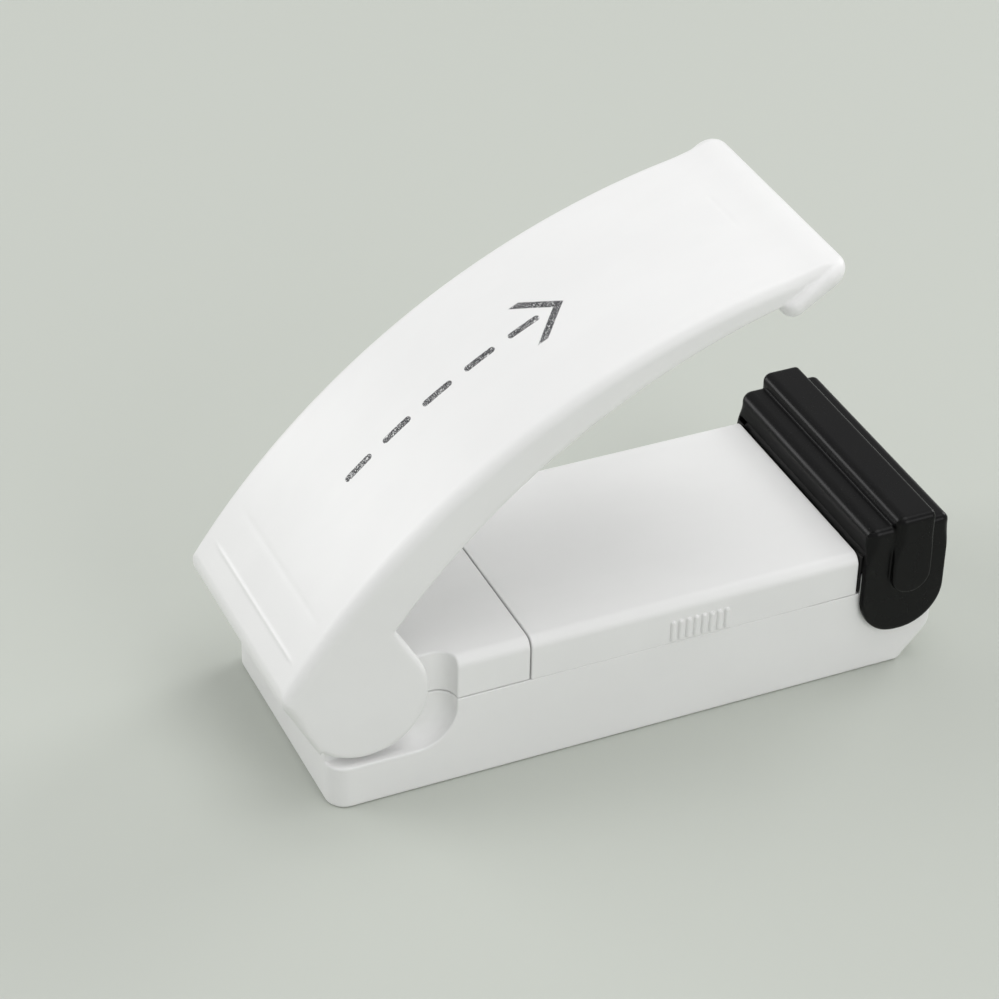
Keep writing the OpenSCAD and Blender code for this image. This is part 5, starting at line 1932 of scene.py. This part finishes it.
@dataclass
class SealingHead:
    """The hot end under the cap: dark block, insulating bar, ribbon, tape, posts and nuts."""

    pivot: Point = (35.65, 12.0)
    fit: float = 0.05
    dome_r: float = 7.6
    dome_t: float = 2.0
    end_edge: float = 0.4
    seat_edge: float = 0.15
    side_edge: float = 0.5
    room_rim: float = 0.2
    block_x: Point = (29.9, 40.7)
    room_x: Point = (31.1, 39.3)
    block_y: float = 16.305
    room_y: float = 14.905
    seat_z: float = 15.05
    cheek_x: Point = (29.5, 29.85)
    cheek_y: Point = (15.105, 16.45)
    cheek_z: Point = (12.55, 18.1)
    cheek_edge: float = 0.1
    foot_x: float = 30.1
    foot_y: float = 16.105
    foot_z: Point = (15.2, 16.8)
    screw: Point = (33.6, 7.0)
    boss_r: float = 2.4
    boss_z: float = 13.25
    pilot_z: float = 15.85
    hole_r: float = 1.05
    hole_rim: float = 0.1
    bar: tuple[float, float, float] = (1.6, 10.305, 1.4)  # half width, half length and depth
    bar_z: float = 19.85
    bar_edge: float = 0.18
    slot_clear: float = 4.0
    nut_half: float = 1.8
    nut_z: Point = (15.95, 17.15)
    nut_r: float = 2.0
    nut_bore: float = 1.02
    chamfer_at: float = 0.4
    chamfer_slope: float = 1.4
    chamfer_scale: float = 1.7
    post_y: float = 11.705
    post_z: Point = (12.6, 20.0)
    post_r: float = 1.0
    post_point: tuple[Point, ...] = ((0.0, 0.7), (0.2, 0.95))
    post_edge: float = 0.12
    thread_at: float = 0.4
    thread_step: float = 0.2
    thread_h: float = 0.07
    thread_n: int = 24
    plain_at: float = 5.4

    def block_field(self, x: Array, y: Array, z: Array) -> Array:
        """Describes the domed block with its slot, bosses and side cheeks.

        Args:
            x: Forward coordinates.
            y: Sideways coordinates.
            z: Heights.

        Returns:
            Distances, negative inside.
        """
        w = np.abs(y)
        dome = meet(disc(x, z, self.pivot, self.dome_r), slab(x, *self.block_x), self.end_edge)
        dome = meet(meet(dome, self.seat_z - z, self.seat_edge), w - self.block_y, self.side_edge)
        room = np.maximum(disc(x, z, self.pivot, self.dome_r - self.dome_t), slab(x, *self.room_x))
        body = carve(dome, np.maximum(room, w - self.room_y), self.room_rim)
        boss = np.maximum(np.maximum(disc(x, w, self.screw, self.boss_r), self.boss_z - z),
                          disc(x, z, self.pivot, self.dome_r - self.dome_t / 2))
        upright = block(x, w, z, *zip(self.cheek_x, self.cheek_y, self.cheek_z), self.cheek_edge)
        foot = block(x, w, z, (self.cheek_x[0], self.cheek_y[0], self.foot_z[0]),
                     (self.foot_x, self.foot_y, self.foot_z[1]), self.cheek_edge)
        body = np.minimum(np.minimum(body, boss), np.minimum(upright, foot))
        slot = self.bar_place(x, y, z, self.fit, self.slot_clear, 0.0)
        holes = np.minimum(disc(x, w, (self.pivot[0], self.post_y), self.hole_r),
                           np.maximum(disc(x, w, self.screw, self.hole_r), z - self.pilot_z))
        return carve(body, np.minimum(slot, holes), self.hole_rim)

    def bar_place(self, x: Array, y: Array, z: Array, fit: float, rise: float, r: float) -> Array:
        """Gives a block round the insulating bar's place.

        Args:
            x: Forward coordinates.
            y: Sideways coordinates.
            z: Heights.
            fit: Gap left round the bar.
            rise: How far the block stands above the bar.
            r: Radius of the edges.

        Returns:
            Distances, negative inside.
        """
        wide, half, deep = self.bar
        return block(x, y, z, (self.pivot[0] - wide - fit, -half - fit, self.bar_z - deep - fit),
                     (self.pivot[0] + wide + fit, half + fit, self.bar_z + rise), r)

    def bar_field(self, x: Array, y: Array, z: Array) -> Array:
        """Describes the insulating bar."""
        return self.bar_place(x, y, z, 0.0, 0.0, self.bar_edge)

    def nut_field(self, x: Array, y: Array, z: Array) -> Array:
        """Describes the two hexagon nuts with chamfered corners.

        Args:
            x: Forward coordinates.
            y: Sideways coordinates.
            z: Heights.

        Returns:
            Distances, negative inside.
        """
        a, b = np.abs(x - self.pivot[0]), np.abs(np.abs(y) - self.post_y)
        way = np.hypot(a, b)
        sides = np.maximum(b, a * math.cos(math.radians(30)) + b / 2) - self.nut_half
        past = np.maximum(np.abs(z - sum(self.nut_z) / 2) - self.chamfer_at, 0.0)
        cone = (way - self.nut_r + past * self.chamfer_slope) / self.chamfer_scale
        return np.maximum(np.maximum(np.maximum(sides, cone), slab(z, *self.nut_z)), self.nut_bore - way)

    def posts(self) -> list[Turned]:
        """Gives the two posts, threaded below and plain above.

        Returns:
            The turned parts.
        """
        tall = self.post_z[1] - self.post_z[0]
        thread = [(self.thread_at + self.thread_step * k, self.post_r - self.thread_h * (k % 2))
                  for k in range(self.thread_n)]
        rows = (*self.post_point, *thread, (self.plain_at, self.post_r), (tall - self.post_edge, self.post_r),
                (tall, self.post_r - self.post_edge))
        return [Turned((self.pivot[0], side * self.post_y, self.post_z[0]), (0, 0, 1), rows)
                for side in (-1, 1)]

    def build(self, paint: Paintbox) -> None:
        """Builds and dresses the sealing head.

        Args:
            paint: Gives the materials.
        """
        x = self.pivot[0]
        head = Skin(self.block_field, (
            graded(28.9, 41.3, 0.3, [
                (29.7, 0.5, 0.1), (x - 1.65, 0.3, 0.1), (x + 1.65, 0.3, 0.1), (40.6, 0.4, 0.12)]),
            graded(-17.0, 17.0, 0.7, both([
                (16.2, 0.5, 0.12), (15.0, 0.3, 0.12), (11.7, 1.2, 0.16), (10.3, 0.3, 0.12),
                (self.screw[1], 2.6, 0.3)])),
            graded(12.0, 20.2, 0.3, [(15.0, 0.3, 0.1), (18.9, 0.8, 0.1)])))
        paint.place(head.piece("sealing_head_block"), "base", Slot.HEATPROOF, "head_block")
        rod = Skin(self.bar_field, (
            graded(x - 2.0, x + 2.0, 0.3, [(x - 1.5, 0.2, 0.06), (x + 1.5, 0.2, 0.06)]),
            graded(-10.8, 10.8, 1.0, both([(10.2, 0.25, 0.08)])),
            graded(18.1, 20.2, 0.2, [(18.55, 0.15, 0.06), (19.75, 0.15, 0.06)])))
        paint.place(rod.piece("insulating_bar"), "base", Slot.CERAMIC, "heater_bar")
        nuts = Skin(self.nut_field, (
            graded(x - 2.4, x + 2.4, 0.1), graded(-14.2, 14.2, 1.5, both([(self.post_y, 1.7, 0.1)])),
            graded(15.6, 17.5, 0.09)))
        paint.place(nuts.piece("post_hex_nuts"), "base", Slot.STEEL, "post_nuts")
        paint.place(Turned.piece("threaded_posts", self.posts()), "base", Slot.BRASS, "heater_posts")
        paint.carry("heater_ribbon", Slot.RIBBON)
        paint.carry("release_tape", Slot.TAPE)


@dataclass
class PowerPack:
    """The two cells with their contact plates and springs."""

    cells_x: float = -23.2
    web_x: float = 29.9
    fit: float = 0.05
    plate_t: float = 0.4
    contact_h: float = 1.7
    wire: float = 0.3
    wide: float = 4.2
    narrow: float = 2.2
    turns: int = 2
    cell_y: float = 7.385
    cell_z: float = 9.12
    profile: tuple[Point, ...] = (
        (0.0, 5.4), (0.0, 6.2), (0.1, 6.7), (0.35, 7.05), (0.8, 7.25), (48.6, 7.25), (49.1, 7.05),
        (49.35, 6.7), (49.45, 6.2), (49.3, 5.6), (49.25, 3.4), (49.4, 2.9), (49.6, 2.75), (50.2, 2.75),
        (50.4, 2.6), (50.45, 2.2))

    def build(self, paint: Paintbox) -> None:
        """Builds and dresses the cells and contacts.

        Args:
            paint: Gives the materials.
        """
        rear = self.cells_x + self.fit + self.plate_t
        front = self.web_x - self.fit - self.plate_t
        for way, plate, node in ((1, rear, "cell_left"), (-1, front, "cell_right")):
            start = (plate + way * self.contact_h, way * self.cell_y, self.cell_z)
            cell = Turned(start, (way, 0, 0), self.profile)
            paint.place(Turned.piece(f"wrapped_{node}", [cell]), "base", Slot.CELL, node)
        for node in ("bridge_plate", "positive_plate", "negative_plate"):
            paint.carry(node, Slot.PLATED)
        rise = self.contact_h - 2 * self.wire - 2 * self.fit
        steel = paint.material(FINISHES[Slot.SPRING])
        for way, plate, contact in ((1, rear, "bridge"), (-1, front, "negative")):
            start = (plate + way * (self.wire + self.fit), way * self.cell_y, self.cell_z)
            coil = Coil(start, (way, 0, 0), self.wide, self.narrow, rise, self.turns, self.wire)
            paint.place(coil.build(f"{contact}_coil", steel), "base", Slot.SPRING, f"{contact}_spring")


LEADS = (
    ("lead_black", Slot.BLACK_LEAD, (
        (29.35, -11.705, 2.2), (-23.2, -11.705, 2.2), (-35.45, -11.705, 2.2), (-37.25, -11.305, 2.2),
        (-38.25, -10.105, 2.2), (-38.45, -8.705, 2.2), (-38.45, 2.0, 2.2), (-38.45, 3.5, 2.6),
        (-38.45, 4.2, 3.6), (-38.45, 4.4, 5.0), (-38.45, 4.4, 8.35))),
    ("lead_red", Slot.RED_LEAD, (
        (-28.823, 11.705, 2.2), (-23.2, 11.705, 2.2), (31.1, 11.705, 2.2), (33.85, 11.705, 2.3),
        (35.05, 11.705, 3.0), (35.55, 11.705, 4.2), (35.65, 11.705, 5.6), (35.65, 11.705, 12.55))),
    ("lead_jumper", Slot.RED_LEAD, (
        (29.9, 3.9, 6.2), (31.1, 3.9, 6.2), (34.65, 3.9, 6.2), (36.45, 3.5, 6.2), (37.65, 2.3, 6.2),
        (38.05, 0.5, 6.2), (38.05, -8.305, 6.2), (37.65, -10.105, 6.4), (36.65, -11.205, 7.0),
        (35.85, -11.605, 8.2), (35.65, -11.705, 9.6), (35.65, -11.705, 12.55))),
)


@dataclass
class SwitchGear:
    """What the lever's inner arm works: return spring, switch leaf and leads."""

    spring_at: Point = (-28.22, -3.3)
    seat_z: float = 4.6
    tip_z: float = 15.95
    radius: float = 1.95
    wire: float = 0.35
    turns: int = 6
    fit: float = 0.05
    spring_keep: float = 0.6
    leaf_x: float = -36.2
    leaf_z: float = 8.4
    leaf_keep: float = 0.42
    leaf_weld: float = 2e-6
    leaf_sharp: float = 40.0
    lead_r: float = 0.55

    def build(self, paint: Paintbox) -> None:
        """Builds and dresses the spring, the leaf and the leads.

        Args:
            paint: Gives the materials.
        """
        rise = self.tip_z - self.seat_z - 2 * self.wire - 2 * self.fit
        spring = Coil((*self.spring_at, self.seat_z + self.wire), (0, 0, 1), self.radius, self.radius, rise,
                      self.turns, self.wire)
        coil = spring.build("return_coil", paint.material(FINISHES[Slot.SPRING]))
        paint.place(coil, "base", Slot.SPRING, "return_spring")
        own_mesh(coil)
        leaf = self.leaf()
        paint.place(leaf, "base", Slot.BRASS, "switch_leaf")
        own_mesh(leaf)
        paint.carry("switch_contact", Slot.BRASS)
        for node, slot, route in LEADS:
            lead = Lead(route, self.lead_r).build(f"{node}_jacket", paint.material(FINISHES[slot]))
            paint.place(lead, "base", slot, node)

    def leaf(self) -> bpy.types.Object:
        """Copies the CAD leaf's mesh into a new piece, with its triangles joined up.

        Returns:
            The linked object.
        """
        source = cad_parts["switch_leaf"].data
        points = [tuple(v.co) for v in source.vertices]
        faces = [tuple(p.vertices) for p in source.polygons]
        obj = mesh_piece("springy_switch_leaf", points, faces, self.leaf_weld)
        obj.data.set_sharp_from_angle(angle=math.radians(self.leaf_sharp))
        return obj


@dataclass(frozen=True)
class Lamp:
    """One soft box."""

    name: str
    place: tuple[float, float, float]
    size: float
    watts: float
    aim: tuple[float, float, float] = (0.0, 0.0, 0.02)

    def build(self) -> None:
        """Hangs the lamp."""
        light = bpy.data.lights.new(self.name, "AREA")
        light.shape = "DISK"
        light.size = self.size
        light.energy = self.watts
        obj = bpy.data.objects.new(self.name, light)
        obj.location = self.place
        obj.rotation_euler = (Vector(self.aim) - Vector(self.place)).to_track_quat("-Z", "Y").to_euler()
        bpy.context.scene.collection.objects.link(obj)


@dataclass
class Studio:
    """Camera, lamps, world and floor."""

    focal: float = 3234.746
    picture: float = 999.0
    sensor: float = 36.0
    clip: Point = (0.01, 20.0)
    azimuth: float = -24.846
    elevation: float = 35.097
    roll: float = 1.366
    across: float = -26.658
    up: float = -28.639
    distance: float = 398.371
    origin_x: float = 40.9
    sky: Point = (0.46, 0.66)
    sky_rise: Point = (0.35, 0.95)
    floor: tuple[float, float, float] = (0.53, 0.555, 0.51)
    floor_half: float = 3.0
    floor_rough: float = 0.9
    lamps: tuple[Lamp, ...] = (
        Lamp("overhead soft box", (0.12, -0.05, 0.8), 0.6, 1.65),
        Lamp("front soft box", (0.25, -0.82, 0.42), 0.6, 2.0),
        Lamp("right soft box", (0.84, 0.3, 0.45), 0.5, 2.5),
        Lamp("rear strip", (-0.6, 0.75, 0.38), 0.3, 1.0),
        Lamp("left soft box", (-0.76, 0.42, 0.42), 0.5, 2.0),
    )

    def build(self) -> None:
        """Sets up the studio."""
        self.camera()
        for lamp in self.lamps:
            lamp.build()
        self.world()
        self.ground()

    def camera(self) -> None:
        """Places the camera at the photograph's view."""
        a, e, r = (math.radians(v) for v in (self.azimuth, self.elevation, self.roll))
        back = Vector((math.sin(a) * math.cos(e), -math.cos(a) * math.cos(e), math.sin(e)))
        right = Vector((0, 0, 1)).cross(back).normalized()
        above = back.cross(right)
        right, above = math.cos(r) * right + math.sin(r) * above, math.cos(r) * above - math.sin(r) * right
        place = back * self.distance - right * self.across - above * self.up - Vector((self.origin_x, 0, 0))
        lens = bpy.data.cameras.new("view")
        lens.sensor_width = self.sensor
        lens.lens = self.focal / self.picture * self.sensor
        lens.clip_start, lens.clip_end = self.clip
        obj = bpy.data.objects.new("view", lens)
        turn = Matrix((right, above, back)).transposed().to_4x4()
        obj.matrix_world = Matrix.Translation(place * MM) @ turn
        bpy.context.scene.collection.objects.link(obj)
        bpy.context.scene.camera = obj

    def world(self) -> None:
        """Lights the scene from all round, more from above."""
        world = bpy.data.worlds.new("soft room")
        bpy.context.scene.world = world
        world.use_nodes = True
        graph = Graph(world.node_tree)
        graph.tree.nodes.clear()
        way = graph.node("ShaderNodeTexCoord").outputs["Generated"]
        height = Value(graph, graph.node("ShaderNodeSeparateXYZ", {}, {0: way}).outputs[2])
        level = self.sky[0] + (self.sky[1] - self.sky[0]) * height.step(*self.sky_rise)
        light = graph.node("ShaderNodeBackground", {}, {"Color": (1, 1, 1, 1), "Strength": level})
        graph.node("ShaderNodeOutputWorld", {}, {"Surface": light.outputs[0]})
        bpy.context.scene.view_settings.view_transform = "Standard"

    def ground(self) -> None:
        """Lays the plain pale floor."""
        size = self.floor_half
        corners = [(-size, -size, 0), (size, -size, 0), (size, size, 0), (-size, size, 0)]
        obj = mesh_piece("floor", corners, [(0, 1, 2, 3)])
        made = Shader("pale floor")
        made.feed(Base_Color=shade(self.floor, 1.0), Roughness=self.floor_rough)
        obj.data.materials.append(made.material)


def main() -> None:
    """Builds the studio and every sub-assembly in order."""
    logging.basicConfig(level=logging.INFO, format="%(message)s")
    Studio().build()
    paint = Paintbox()
    for assembly in (Casing(), PressLever(), SafetyCap(), SealingHead(), PowerPack(), SwitchGear()):
        assembly.build(paint)


if __name__ == "__main__":
    main()
